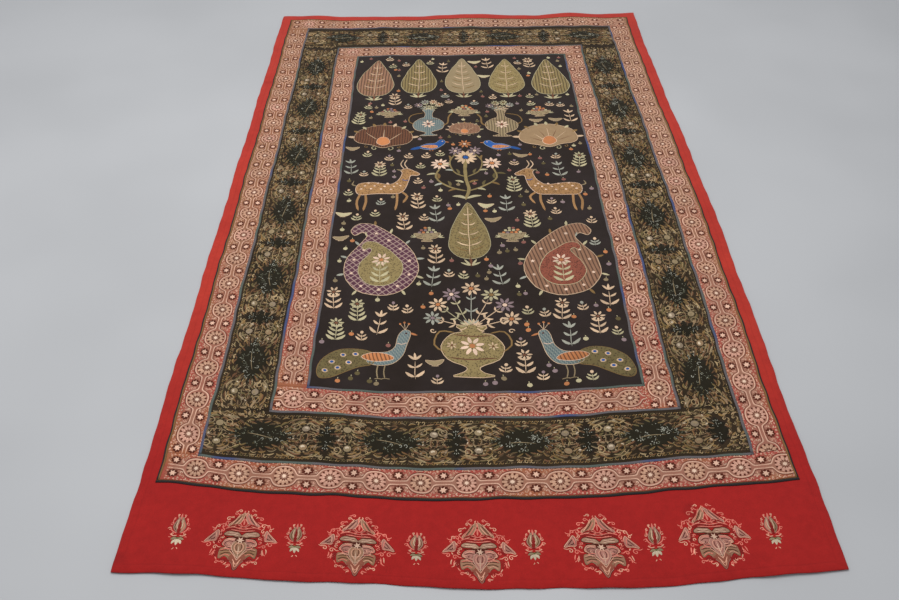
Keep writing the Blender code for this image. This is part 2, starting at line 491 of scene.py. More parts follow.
def corded_piping(name, gold_start):
    """Black cord, with a couched line of old gold from gold_start to its inner side."""
    material, shading, shader = new_material(name)
    waver = shading.times(shading.noise(30.0, 2.0), 0.0016)
    inner = shading.ramp(shading.plus(shading.read("across"), waver), gold_start, gold_start + 0.0008)
    twist = shading.maths("SINE", shading.plus(shading.times(shading.read("along"), 2 * pi / TWIST_PITCH),
                                               shading.times(shading.read("across"), 2 * pi / TWIST_REACH)))
    colour = shading.mix(inner, CORD_BLACK, OLD_GOLD)
    finish(shading, shader, shading.shaded(colour, shading.ramp(twist, -1.0, 1.0, 0.72, 1.1)), 0.62, twist,
           0.5, 0.0006, 0.25)
    return material


def silk_thread():
    """Chain stitch in silk, in each element's own dye."""
    material, shading, shader = new_material("silk_thread")
    chain = shading.add("ShaderNodeGroup", {"node_tree": CHAIN}, Row=ROW_WIDTH, Pitch=LINK_PITCH).outputs
    drift = shading.ramp(shading.noise(14.0, 2.0), 0.3, 0.7, 0.90, 1.08)
    colour = shading.shaded(shading.read("dye", "Color"), shading.times(chain["Shade"], drift))
    finish(shading, shader, colour, shading.ramp(chain["Height"], 0.0, 1.0, 0.72, 0.50), chain["Height"], 0.6,
           0.0005, 0.08)
    return material


def patch_cloth(name, pattern=None, thread=(44, 32, 30)):
    """Applied cloth in each patch's own dye, with a pattern from 0 to 1 in another thread."""
    material, shading, shader = new_material(name)
    dye = shading.read("dye", "Color")
    nap = use_nap(shading, dye, dye, 0.0)
    colour = shading.mix(pattern(shading), nap["Colour"], thread) if pattern else nap["Colour"]
    finish_wool(shading, shader, colour, nap)
    return material


def pinstripes(shading):
    """Narrow dark stripes along the patch, in pairs."""
    across = shading.read("across")
    broad = shading.stripe(shading.repeat(across, 0.0105), (0.0, 0.08), (0.42, 0.34))
    narrow = shading.stripe(shading.repeat(across, 0.0035), (0.6, 0.7), (1.0, 0.9))
    return shading.most(shading.times(broad, 0.72), shading.times(narrow, 0.25))


def checks(shading):
    """A plaid of crossed lines."""
    bars = [shading.stripe(shading.repeat(shading.read(name), 0.0145), (0.0, 0.08), (0.26, 0.18))
            for name in ("across", "along")]
    return shading.times(shading.most(*bars), 0.75)


def zigzag(shading):
    """Rows of pale stitches that go up and down."""
    sway = shading.maths("PINGPONG", shading.read("along"), 0.004)
    row = shading.repeat(shading.plus(shading.read("across"), sway), 0.0085)
    return shading.times(shading.stripe(row, (0.0, 0.12), (0.42, 0.30)), 0.7)


def stipple(shading):
    """Small scattered dots."""
    place = shading.add("ShaderNodeTexCoord").outputs["Object"]
    dots = shading.add("ShaderNodeTexVoronoi", {"feature": "F1"}, Vector=place, Scale=190.0)
    return shading.ramp(dots.outputs["Distance"], 0.42, 0.30, 0.0, 0.62)


FINISHES = {
    THREAD: silk_thread(),
    PLAIN: patch_cloth("plain_patch"),
    STRIPED: patch_cloth("striped_patch", pinstripes),
    CHECKED: patch_cloth("checked_patch", checks, (176, 150, 138)),
    STIPPLED: patch_cloth("stippled_patch", stipple),
    ZIGZAG: patch_cloth("zigzag_patch", zigzag, (150, 156, 144)),
}


# Shapes for stitching, in millimetres

BOTH = (-1, 1)
QUARTERS = ((-1, -1), (-1, 1), (1, -1), (1, 1))


def polar(radius, turn, middle=(0.0, 0.0)):
    """A place at a radius and a turn, in radians, round a middle."""
    return Vector((middle[0] + radius * cos(turn), middle[1] + radius * sin(turn)))


def mirrored(half):
    """An outline of two like sides, from one side's points. A point on the middle line isn't doubled."""
    return [*half, *((-x, y) for x, y in reversed(half) if x)]


def smooth_curve(points, steps, closed=False):
    """A soft curve through the points, with that many steps to each stretch."""
    knots = [Vector(point) for point in points]
    count = len(knots)
    found = []
    for k in range(count if closed else count - 1):
        near = [(k + step) % count if closed else min(max(k + step, 0), count - 1)
                for step in (-1, 0, 1, 2)]
        before, start, end, after = (knots[place] for place in near)
        bend = interpolate_bezier(start, start + (end - before) / 6, end - (after - start) / 6, end,
                                  steps + 1)
        found += [Vector(spot[:2]) for spot in bend[:-1]]
    return found if closed else [*found, knots[-1]]


def scroll(middle, radius, start, turns, steps):
    """A spiral that winds in to its middle. Turns below 0 wind clockwise."""
    return [polar(radius * (1.0 - 0.78 * k / steps), start + 2 * pi * turns * k / steps, middle)
            for k in range(steps + 1)]


def even(share):
    """The swell of a line of stitches: even, with short rounded ends."""
    return min(1.0, 0.35 + 6.0 * share, 0.35 + 6.0 * (1.0 - share))


def leaf_swell(share):
    """The swell of a leaf: pointed at both ends, fullest nearer its root."""
    return max(0.04, sin(pi * share ** 0.85)) ** 0.8


def new_stitching():
    """An empty bmesh with the layers that stitching needs."""
    bm = bmesh.new()
    for title in ("along", "across"):
        bm.verts.layers.float.new(title)
    bm.verts.layers.float_color.new("dye")
    return bm


def dress(layers, vert, along, across, dye):
    """Gives a vertex its place in the stitch pattern, in millimetres, and its dye."""
    vert[layers.float["along"]] = along * MM
    vert[layers.float["across"]] = across * MM
    vert[layers.float_color["dye"]] = dye


def slice_mesh(bm, place, normal, clear=False):
    """Cuts a mesh along a plane, and where asked clears what is past it."""
    bmesh.ops.bisect_plane(bm, geom=[*bm.verts, *bm.edges, *bm.faces], plane_co=place, plane_no=normal,
                           clear_outer=clear)


class Work:
    """The stitching and applied patches of one motif. The height of what is sewn next is its base.

    Its number decides all its small changes, and it faces the other way where its hand is -1.
    """

    def __init__(self, number, hand=1):
        self.bm = new_stitching()
        self.number = number
        self.dice = Random(number)
        self.hand = hand
        self.base = 0.0

    def pick(self, *things):
        """One of some things."""
        return self.dice.choice(things)

    def between(self, low, high):
        """A number between two."""
        return self.dice.uniform(low, high)

    def jog(self, reach):
        """A small change either way."""
        return self.between(-reach, reach)

    def any_turn(self):
        """A turn, in radians."""
        return self.between(0, 2 * pi)

    def tint(self, colour):
        """The colour a little lighter or darker, as no two lengths of thread match."""
        share = self.between(0.88, 1.12)
        return [min(1.0, part * share) for part in linear(colour)] + [1.0]

    def line(self, path, width, colour, swell=even, closed=False, crown=None):
        """A raised row of stitches along a path, or a leaf where it swells."""
        steps = len(path) - 1
        made = bmesh.ops.create_grid(self.bm, x_segments=steps, y_segments=2, size=1.0)["verts"]
        dye = self.tint(colour)
        crown = min(MOST_CROWN, CROWN_SHARE * width) if crown is None else crown
        run = 0.0
        for k, spot in enumerate(path):
            after = path[(k + 1) % steps] if closed else path[min(k + 1, steps)]
            before = path[(k - 1) % steps] if closed else path[max(k - 1, 0)]
            ahead = after - before
            left = Vector((-ahead.y, ahead.x)).normalized()
            half = width / 2 * (1.0 if closed else swell(k / steps))
            run += (spot - path[max(k - 1, 0)]).length
            ends = not closed and k in (0, steps)
            for side in (-1, 0, 1):
                vert = made[(side + 1) * (steps + 1) + k]
                vert.co = (*(spot + left * half * side), self.base + (-SINK if side or ends else crown))
                dress(self.bm.verts.layers, vert, run, half * side, dye)

    def dome(self, middle, reach, colour, turn=0.0, sides=8, crown=None, waist=1.0):
        """A raised oval of satin stitches, or a star where every other corner is drawn in."""
        made = bmesh.ops.create_circle(self.bm, cap_ends=True, cap_tris=True, segments=sides,
                                       radius=1.0)["verts"]
        dye = self.tint(colour)
        crown = min(MOST_CROWN, CROWN_SHARE * 2 * min(reach)) if crown is None else crown
        spin = Matrix.Rotation(turn, 2)
        for k, vert in enumerate(made):
            share = waist if k % 2 == 0 else 1.0
            spot = Vector((vert.co.x * reach[0], vert.co.y * reach[1])) * (share if k else 0.0)
            vert.co = (*(spin @ spot + Vector(middle)), self.base + (-SINK if k else crown))
            dress(self.bm.verts.layers, vert, spot.x, spot.y, dye)

    def seed(self, middle, length, width, turn, colour):
        """A small oval stitch that points along its turn."""
        self.dome(middle, (length / 2, width / 2), colour, turn, sides=6)

    def star(self, middle, radius, waist, points, colour, turn=0.0):
        """A star of satin stitches."""
        self.dome(middle, (radius, radius), colour, turn, sides=2 * points, crown=0.7, waist=waist)

    def winding(self, start, turns):
        """How a scroll starts and turns, on the motif's other side while hand is -1."""
        return (start, turns) if self.hand > 0 else (pi - start, -turns)

    def curl(self, middle, radius, start, turns, width, colour, steps=9):
        """A little scroll."""
        self.line(scroll(middle, radius, start, turns, steps), width, colour)

    def tendril(self, middle, radius, start, turns, width, colour):
        """A little scroll with a tail that leads into it."""
        wound = scroll(middle, radius, start, turns, 13)
        lean = 1.0 if turns > 0 else -1.0
        tail = [wound[0] + polar(reach * radius, start - lean * turn)
                for reach, turn in ((2.2, 1.05), (1.1, 1.4))]
        self.line(smooth_curve([*tail, wound[0]], 3) + wound[1:], width, colour)

    def leaf(self, root, tip, width, colour, bend=0.0, steps=5):
        """A leaf from its root to its tip. Bend is how far its middle bows to the left."""
        root, tip = Vector(root), Vector(tip)
        ahead = tip - root
        aside = Vector((-ahead.y, ahead.x)).normalized() * bend
        path = smooth_curve([root, (root + tip) / 2 + aside, tip], (steps + 1) // 2)
        self.line(path, width, colour, leaf_swell)

    def patch(self, outline, colour, finish=PLAIN, rim=None, rim_width=2.2, turn=0.0):
        """Applied cloth cut to an outline, its edge stitched down in the rim's colour."""
        piece = new_stitching()
        face = piece.faces.new([piece.verts.new((*spot, self.base - SINK)) for spot in outline])
        face.normal_update()
        if face.normal.z < 0:
            face.normal_flip()
        bmesh.ops.inset_region(piece, faces=[face], thickness=PATCH_BEVEL, use_boundary=True,
                               use_even_offset=True)
        for vert in face.verts:
            vert.co.z = self.base + PATCH_RISE
        for axis in (0, 1):
            low = min(spot[axis] for spot in outline)
            high = max(spot[axis] for spot in outline)
            parts = max(1, round((high - low) / SLICE_STEP))
            for k in range(1, parts):
                slice_mesh(piece, [low + (high - low) * k / parts] * 3, (axis == 0, axis == 1, 0))
        bmesh.ops.triangulate(piece, faces=piece.faces[:])
        dye = self.tint(colour)
        spin = Matrix.Rotation(-turn, 2)
        for vert in piece.verts:
            across, along = spin @ vert.co.xy
            dress(piece.verts.layers, vert, along, across, dye)
        for face in piece.faces:
            face.material_index = finish
        cut = bpy.data.meshes.new("patch")
        piece.to_mesh(cut)
        piece.free()
        self.bm.from_mesh(cut)
        bpy.data.meshes.remove(cut)
        if rim:
            self.line([*outline, outline[0]], rim_width, rim, closed=True)

    def at(self, *points):
        """Places in the motif, on its other side while hand is -1."""
        return [Vector((x * self.hand, y)) for x, y in points]

    def shape(self, points, colour, finish=PLAIN, rim=None, rim_width=2.2, turn=0.0, shade=None):
        """A patch with a soft outline through some points, and, where a shade colour is given, a line of
        painted shadow round it.
        """
        outline = smooth_curve(self.at(*points), 3, closed=True)
        if shade:
            self.line([*outline, outline[0]], rim_width + SHADE_WIDTH, shade, closed=True, crown=SHADE_CROWN)
        self.patch(outline, colour, finish, rim, rim_width, turn)

    def edged(self, points, colour, rim, rim_width=2.2):
        """A plain patch edged in the rim's colour, with a dark brown line of painted shadow round it."""
        self.shape(points, colour, PLAIN, rim, rim_width, shade=DARK_BROWN)

    def stroke(self, points, width, colour, swell=even):
        """A row of stitches on a soft curve through some points."""
        self.line(smooth_curve(self.at(*points), 3), width, colour, swell)

    def strokes(self, width, tones, *lines):
        """Rows of stitches on soft curves, each in one of the tones."""
        for points in lines:
            self.stroke(points, width, self.pick(*tones) if len(tones) > 1 else tones[0])

    def done(self, name):
        """The motif's mesh."""
        mesh = bpy.data.meshes.new(name)
        self.bm.to_mesh(mesh)
        self.bm.free()
        return mesh


def as_motif(draw):
    """Makes of a drawing a function that gives back the motif's mesh, by its number and hand."""
    def make(number, hand=1):
        work = Work(number, hand)
        draw(work)
        return work.done(draw.__name__)
    return make


def sew(stitching, motif, u, v, turn=0.0, stretch=(1.0, 1.0), slant=0.0):
    """Adds a copy of a motif to some stitching, at a place on the cut cloth."""
    sheared = Matrix.Identity(4)
    sheared[0][1] = slant
    copy = motif.copy()
    copy.transform(Matrix.Translation((u, v, 0.0)) @ Matrix.Rotation(turn, 4, "Z") @ sheared
                   @ Matrix.Diagonal((stretch[0] * MM, stretch[1] * MM, MM, 1.0)))
    stitching.from_mesh(copy)
    bpy.data.meshes.remove(copy)


# Pieces


def lay_piece(name, bm, level, materials, slot):
    """Makes a piece of a flat bmesh: laid, shaded, and riding on the cloth's one body."""
    mesh = bpy.data.meshes.new(name)
    bm.to_mesh(mesh)
    bm.free()
    places = np.empty(len(mesh.vertices) * 3, np.float32)
    mesh.vertices.foreach_get("co", places)
    flat = places.reshape(-1, 3).astype(float) + (0.0, 0.0, level)
    mesh.vertices.foreach_set("co", laid(flat).astype(np.float32).ravel())
    for material in materials:
        mesh.materials.append(material)
    mesh.shade_smooth()
    mesh.update()
    piece = bpy.data.objects.new(name, mesh)
    bpy.context.scene.collection.objects.link(piece)
    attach(piece, "root")
    return piece


def make_sheet(name, columns, rows, titles, place, top, low, material, slot):
    """A sheet from a grid of columns by rows, laid at its height.

    place gives a vertex's spot on the cut cloth and its value in each layer of the titles, by its
    column and row. top gives the height of the sheet's upper face from those values.
    """
    bm = bmesh.new()
    layers = [bm.verts.layers.float.new(title) for title in titles]
    made = bmesh.ops.create_grid(bm, x_segments=columns - 1, y_segments=rows - 1, size=1.0)["verts"]
    for k, vert in enumerate(made):
        spot, values = place(k % columns, k // columns)
        vert.co = (*spot, 0.0)
        for layer, value in zip(layers, values):
            vert[layer] = value
    for vert in bmesh.ops.extrude_face_region(bm, geom=bm.faces[:], use_keep_orig=True)["geom"]:
        if isinstance(vert, bmesh.types.BMVert):
            vert.co.z = top(*(vert[layer] for layer in layers))
    bmesh.ops.recalc_face_normals(bm, faces=bm.faces[:])
    return lay_piece(name, bm, low, [material], slot)


def stations(start, end, step, marks=()):
    """Places from start to end, about a step apart, that take in the marks."""
    edges = [start, *marks, end]
    found = [start]
    for low, high in zip(edges, edges[1:]):
        parts = max(1, round((high - low) / step))
        found += [low + (high - low) * (k + 1) / parts for k in range(parts)]
    return found


# How far in the hem's turn, its stitched ditch and a cut edge's rounding lie, and their heights
HEM_MARKS = (0.0015, 0.017, 0.019, 0.021)
EDGE_MARKS = (0.0012,)
HEM_RISE = 0.0007
HEM_DITCH = 0.0002
EDGE_SOFTNESS = 0.0004
AT_EDGE = 1e-6


def hem_height(rim):
    """The top of the red cloth's turned hem, over the plain cloth's, by the distance from its edge."""
    if rim <= HEM_MARKS[0]:
        return 0.0
    if rim <= HEM_MARKS[1]:
        return HEM_RISE
    return -HEM_DITCH if rim <= HEM_MARKS[2] else 0.0


def cut_cloth(cut, hem=False):
    """A rectangle of cloth with soft edges, or with a turned hem, laid at its height."""
    ring = cut.ring
    marks = HEM_MARKS if hem else EDGE_MARKS
    across, along = (stations(start, end, cut.step, [start + mark for mark in marks]
                              + [end - mark for mark in reversed(marks)])
                     for start, end in ((ring.left, ring.right), (ring.bottom, ring.top)))

    def place(column, row):
        u, v = across[column], along[row]
        return (u, v), (v, u, min(u - ring.left, ring.right - u, v - ring.bottom, ring.top - v))

    def top(along, across, rim):
        height = cut.thick + (hem_height(rim) if hem else 0.0)
        return height - EDGE_SOFTNESS if rim < AT_EDGE else height

    return make_sheet(cut.piece, len(across), len(along), ("along", "across", "rim"), place, top, cut.low,
                      WOOLS[cut.wool], cut.wool)


def cut_strip(name, ends, width, low, heights, material, slot):
    """A long narrow strip between two places, with a height for each station over its width."""
    start, end = Vector(ends[0]), Vector(ends[1])
    ahead = (end - start).normalized()
    left = Vector((-ahead.y, ahead.x))
    length = (end - start).length
    steps = round(length / STRIP_STEP)
    gaps = len(heights) - 1

    def place(column, row):
        run = length * column / steps
        side = width * (row / gaps - 0.5)
        return start + ahead * run + left * side, (run, side)

    def top(run, side):
        return heights[round((side / width + 0.5) * gaps)]

    return make_sheet(name, steps + 1, gaps + 1, ("along", "across"), place, top, low, material, slot)


def grown(ring, by):
    """A ring moved outwards."""
    return Ring(ring.left - by, ring.right + by, ring.bottom - by, ring.top + by)


def strips_between(outer, inner, right_runs_down=False):
    """The four strips between two rings, by side. The bottom and the top run through the corners."""
    low_right = inner.right if right_runs_down else outer.right
    low_end = outer.bottom if right_runs_down else inner.bottom
    rings = {
        "bottom": Ring(outer.left, low_right, outer.bottom, inner.bottom),
        "top": Ring(outer.left, outer.right, inner.top, outer.top),
        "left": Ring(outer.left, inner.left, inner.bottom, inner.top),
        "right": Ring(inner.right, outer.right, low_end, inner.top),
    }
    return {side: grown(ring, -GAP / 2) for side, ring in rings.items()}


def middle_line(ring, side):
    """The two ends of a strip's middle line, so that the panel's middle is on its left."""
    across = (ring.left + ring.right) / 2
    along = (ring.bottom + ring.top) / 2
    return {
        "bottom": ((ring.left, along), (ring.right, along)),
        "top": ((ring.right, along), (ring.left, along)),
        "left": ((across, ring.top), (across, ring.bottom)),
        "right": ((across, ring.bottom), (across, ring.top)),
    }[side]


# Stitched motifs of the narrow bands

PETAL_TONES = (PETAL_TAN, PETAL_ROSE, PETAL_BEIGE)
VINE_BULGE = ((-53.5, 4.4), (-34.5, 4.4), (-29.0, 6.6), (-26.0, 12.0), (-20.5, 19.4), (-11, 24.2), (0, 25.6))


@as_motif
def rosette_repeat(work):
    """A lacy rosette of twelve petals that fills two pale vines, which run on side by side."""
    petal = work.pick(*PETAL_TONES)
    work.base = 0.22
    work.dome((0, 0), (23.2, 22.6), ROSETTE_GROUND, sides=18, crown=0.12)
    for k in range(12):
        turn = 2 * pi * k / 12 + work.jog(0.06)
        between = turn + pi / 12
        work.base = 0.4
        work.seed(polar(16.2, turn), 14.4, 8.0, turn, petal)
        work.base = 0.75
        work.seed(polar(20.2, between), 6.0, 4.6, between, DAISY_BROWN)
        work.seed(polar(9.6, between), 4.2, 2.8, between, DAISY_BROWN)
        work.seed(polar(15.0, turn), 6.8, 2.4, turn, BISQUE)
    work.star((0, 0), 5.6, 0.7, 6, PALE, work.between(0, 1))
    work.base = 0.0
    for side in BOTH:
        for width, shift, colour in ((2.6, 3.2, RUST), (4.4, 0.0, VINE_PINK)):
            vine = mirrored([(x, (y + shift) * side) for x, y in VINE_BULGE])
            work.line(smooth_curve(vine, 2), width, colour)
        for hand in BOTH:
            for x, y, radius in ((28, 25.0, 5.0), (32, 14.5, 3.8), (20, 31.0, 4.2), (8, 33.0, 3.8)):
                work.curl((x * hand, y * side), radius, work.any_turn(), 0.8 * hand * side, 2.8,
                          work.pick(PETAL_ROSE, PETAL_TAN, BISQUE), 6)
            for x, y in ((2, 32.6), (14, 34.4), (28, 34.4), (36, 30.6), (34, 20.0), (45, 34.6)):
                work.seed((x * hand, y * side), 6.6, 3.8, work.jog(0.6), work.pick(*PETAL_TONES))


@as_motif
def starred_neck(work):
    """Two dark daisies with pale stars, one each side of the vines, ringed with short stitches."""
    for side in BOTH:
        middle = Vector((0, 18.4 * side))
        for k in range(12):
            turn = 2 * pi * (k + 0.5) / 12
            spot = middle + Vector((17.8 * cos(turn), 14.8 * sin(turn)))
            if spot.y * side > 9.0:
                work.seed(spot, 5.6, 3.2, turn + pi / 2, work.pick(PETAL_TAN, CLAY, PETAL_ROSE))
        work.base = 0.22
        work.dome(middle, (14.4, 12.0), DAISY_BROWN, sides=18, crown=0.15, waist=0.76)
        work.base = 0.42
        work.star(middle, 8.8, 0.5, 6, DAISY_PINK, pi / 2 + work.jog(0.3))
        work.base = 0.0
        for hand in BOTH:
            work.curl((13.0 * hand, 33.6 * side), 3.2, 0.0, 0.8 * hand * side, 2.2, PETAL_ROSE, 6)


@as_motif
def vine_stub(work):
    """The two vines run on straight, to a band's end, with a few stitches beside them."""
    for side in BOTH:
        work.line([Vector((x, 4.4 * side)) for x in (-5.0, 0.0, 5.0)], 3.8, VINE_PINK)
        for x, y in ((-2.5, 12), (2.2, 19), (-1.8, 27), (1.6, 34)):
            work.seed((x, y * side), 3.0, 4.6, 0.0, work.pick(PETAL_TAN, PETAL_ROSE, BISQUE))


# Stitched motifs of the wide band


def open_leaf(work, root, bend, tip, width, tones):
    """A filled leaf in a darker tone, with a paler row of stitches along one edge."""
    aside = (tip - root).orthogonal().normalized() * 0.26 * width * work.pick(*BOTH)
    shades = sorted((work.pick(*tones), work.pick(*tones)), key=sum)
    work.line(smooth_curve([root, bend, tip], 3), 0.72 * width, shades[0], leaf_swell)
    work.line(smooth_curve([root, bend + 1.5 * aside, tip], 3), 0.34 * width, shades[1])


def bloom(work, x, side):
    """A tan flower head cupped by gold leaves and small buds, its foot towards the band's edge."""
    middle = Vector((x + work.jog(2), (26.0 + work.jog(2)) * side))
    golds = (GOLD, PALE_GOLD, SAND, OLIVE, TAN, BRONZE, COPPER)

    def place(point, jitter=1.4):
        return middle + Vector((point[0] * hand + work.jog(jitter), (point[1] + work.jog(jitter)) * side))

    for hand in BOTH:
        for root, bend, tip, width in (
                ((1, 14), (11, 15), (24, 6), 7.0), ((3, 21), (18, 20), (33, 9), 7.6),
                ((12, 28), (26, 24), (42, 12), 6.6), ((0, 29), (9, 30), (20, 27), 5.4),
                ((28, 25), (36, 25), (46, 19), 5.4), ((15, 1), (24, -2), (33, -9), 7.6),
                ((11, -10), (20, -14), (26, -22), 6.6), ((30, 2), (38, 0), (47, -6), 6.6),
                ((4, -14), (8, -20), (8, -28), 5.6), ((28, -13), (35, -16), (44, -15), 5.4)):
            open_leaf(work, place(root), place(bend), place(tip), width, golds)
        work.base = 0.4
        work.curl(place((23, 5)), 12.5, work.jog(0.6) + pi, 1.35 * hand * side, 2.3,
                  work.pick(PALE_GOLD, GOLD, SAND), 14)
        work.base = 0.0
        for spot, radius, width in (((37, -19), 5.2, 1.9), ((21, -28), 4.6, 1.8), ((31, 17), 4.2, 1.6),
                                    ((46, 6), 4.4, 1.7), ((14, 9), 3.8, 1.5), ((18, -6), 3.8, 1.5)):
            turns = 0.95 * work.pick(*BOTH)
            work.curl(place(spot), radius, work.any_turn(), turns, width,
                      work.pick(GOLD, TAN, COPPER, PALE_GOLD), 7)
    for k in range(9):
        turn = 2 * pi * k / 9
        work.seed(polar(13.6, turn, middle), 7.0, 6.0, turn, work.pick(OLIVE, BRONZE, SAND))
    work.dome(middle, (10.6, 9.6), work.pick(TAN, SAND, HEAD_GREY), sides=12, crown=1.3)
    for hand, spot, reach in ((1, (27, -3), 7.4), (-1, (26, 2), 6.8), (1, (19, 24), 5.6),
                              (-1, (24, -21), 5.8)):
        beside = place(spot, 2.5)
        work.dome(beside, (reach, 0.9 * reach), work.pick(BRONZE, COPPER, TAN, HEAD_GREY), sides=10,
                  crown=0.8)
        work.base = 0.6
        work.seed(beside, reach, 0.6 * reach, work.between(0, pi), work.pick(HEAD_GREY, HEAD_PALE, TAN))
        work.base = 0.0
    work.base = 0.9
    work.seed(middle + Vector((work.jog(2), 1.5)), 11.0, 8.0, 0.0, work.pick(HEAD_PALE, SAND, HEAD_PALE))
    work.base = 0.0


def cartouche(work, x, outline):
    """A dark applied shape with lobes, its edge tucked under a row of brown stitches."""
    quarter = [(a + work.jog(1.5), b + work.jog(1.5)) for a, b in outline]
    quarter[0] = (quarter[0][0], 0)
    quarter[-1] = (0, quarter[-1][1])
    half = mirrored(quarter)
    whole = half + [(a, -b) for a, b in reversed(half[1:-1])]
    work.patch(smooth_curve([(x + a, b) for a, b in whole], 3, closed=True), DARK_PATCH, PLAIN,
               WINE_BROWN, 2.6)


LONG_LOBES = ((84, 0), (68, 6), (60, 16), (46, 18), (38, 29), (26, 31), (14, 40), (0, 43))
SHORT_LOBES = ((28, 0), (16, 10), (20, 22), (10, 28), (0, 41))


def edge_scrolls(work, start, end, pitch):
    """A row of tiny gold scrolls along both edges of the wide band."""
    count = round((end - start) / pitch)
    for side in BOTH:
        for k in range(count):
            x = start + (k + 0.5) * (end - start) / count
            tone = work.pick(GOLD, GOLD, PALE_GOLD, OLIVE, BRONZE)
            work.curl((x, 58.8 * side), 5.6, -pi / 2 * side, 0.85, 2.3, tone, 8)
            work.seed((x + pitch / 2, 61.0 * side), 3.8, 2.8, 0.0, work.pick(TAN, PALE_GOLD, OLIVE))


def small_sprig(work, middle, turn, colour, size=1.0):
    """A stem with three leaves."""
    spin = Matrix.Rotation(turn, 2)
    middle = Vector(middle)
    work.line([middle + spin @ Vector((y, 0)) * size for y in (-7, 0, 7)], 1.4 * size, colour)
    for lean in (-0.7, 0.0, 0.7):
        tip = middle + spin @ Vector((4 + 5 * cos(lean), 7 * sin(lean))) * size
        work.seed(tip, 5.0 * size, 2.4 * size, turn + lean, colour)


@as_motif
def wide_repeat(work):
    """A long dark cartouche with four blooms round it."""
    tones = (GOLD, PALE_GOLD, OLIVE, COPPER, SAND, BRONZE)
    cartouche(work, 0, LONG_LOBES)
    for side, hand in QUARTERS:
        bloom(work, 100 * hand, side)
        for root, tip, width in (((60, 31), (78, 17), 7.2), ((42, 31), (58, 41), 7.6),
                                 ((20, 43), (40, 38), 7.0), ((42, 50), (60, 53), 6.0),
                                 ((0, 46), (17, 44), 6.4), ((70, 12), (88, 6), 6.6),
                                 ((22, 54), (38, 50), 5.0), ((58, 45), (72, 38), 6.0),
                                 ((64, 22), (54, 15), 4.6), ((32, 37), (22, 30), 4.2),
                                 ((2, 54), (18, 55), 4.6), ((46, 26), (38, 32), 4.2)):
            start, end = (Vector((a * hand + work.jog(1.5), b * side)) for a, b in (root, tip))
            bend = (start + end) / 2 + Vector((work.jog(2), 3 * side))
            open_leaf(work, start, bend, end, width, tones)
        for x, y in ((52, 30), (96, 4), (113, 5), (66, 53), (33, 38), (74, 3), (14, 54), (86, 14)):
            work.curl((x * hand, y * side), 4.4, work.any_turn(), 0.95 * work.pick(*BOTH),
                      1.7, work.pick(GOLD, TAN, PALE_GOLD, COPPER), 7)
        work.stroke([(80 * hand, 2 * side), (96 * hand, 9 * side), (120 * hand, 8 * side),
                     (136 * hand, 2 * side)], 1.8, work.pick(SAND, TAN, PALE_GOLD))
    work.base = PATCH_RISE
    work.stroke([(-34, work.jog(9)), (-4, work.jog(3)), (32, work.jog(9))], 2.4, SAND, leaf_swell)
    for k in range(7):
        spot = (18 * k - 54 + work.jog(6), work.jog(20))
        small_sprig(work, spot, work.any_turn(), work.pick(CHALK, DIM_CHALK), work.between(0.8, 1.2))
    for k in range(54):
        x = work.jog(76)
        spot = (x, work.jog(36) * (1 - abs(x) / 100))
        work.seed(spot, work.between(2.6, 4.6), work.between(2.4, 3.4), work.between(0, pi),
                  work.pick(DIM_CHALK, DIM_CHALK, DIM_CHALK, CHALK, OLIVE))
    for k in range(8):
        spot = (15 * k - 52 + work.jog(6), work.jog(26))
        work.curl(spot, work.between(4.2, 6.4), work.any_turn(), 0.9, 1.9, work.pick(DIM_CHALK, CHALK), 7)
    for hand, side in QUARTERS:
        for root, tip in (((80, 9), (60, 4)), ((66, 20), (50, 12)), ((54, 25), (44, 14)),
                          ((42, 34), (28, 24)), ((30, 38), (14, 32)), ((14, 46), (2, 36))):
            start, end = (Vector((a * hand + work.jog(2), (b + work.jog(2)) * side))
                          for a, b in (root, tip))
            open_leaf(work, start, (start + end) / 2, end, 5.6, (BRONZE, OLIVE, COPPER, GOLD))


@as_motif
def short_lozenge(work):
    """A narrow dark lozenge across the wide band, with small leaves at its ends."""
    cartouche(work, 0, SHORT_LOBES)
    for side, hand in QUARTERS:
        work.leaf((10 * hand, 50 * side), (26 * hand, 42 * side), 7.0, GOLD, -3 * hand * side)
        work.leaf((20 * hand, 16 * side), (32 * hand, 7 * side), 6.0, COPPER, -2 * hand * side)
        work.leaf((2 * hand, 54 * side), (14 * hand, 55 * side), 5.0, SAND, 1.0)
        work.curl((23 * hand, 33 * side), 4.4, 0.0, 0.95 * hand, 1.7, TAN, 7)
    work.base = PATCH_RISE
    for side in BOTH:
        small_sprig(work, (0, 22 * side), pi / 2 * side, CHALK, 1.0)
        for k in range(4):
            work.seed((work.jog(12), work.between(4, 24) * side), 3.4, 2.8, 0.0, CHALK)


@as_motif
def end_leaves(work):
    """Leaves and curls scattered across the wide band, between its last repeat and a band's end."""
    for k in range(14):
        middle = Vector((work.jog(6), -54 + 8.3 * k))
        reach = polar(work.between(5.5, 8.5), work.any_turn())
        bend = middle + Vector((-reach.y, reach.x)) * work.jog(0.5)
        open_leaf(work, middle - reach, bend, middle + reach, 6.6, (GOLD, OLIVE, TAN, PALE_GOLD, BRONZE))
        work.curl((work.jog(9), middle.y + 4), work.between(3.6, 5.4), work.any_turn(), 0.95, 1.9,
                  work.pick(GOLD, PALE_GOLD, TAN), 7)


# Skirt motifs


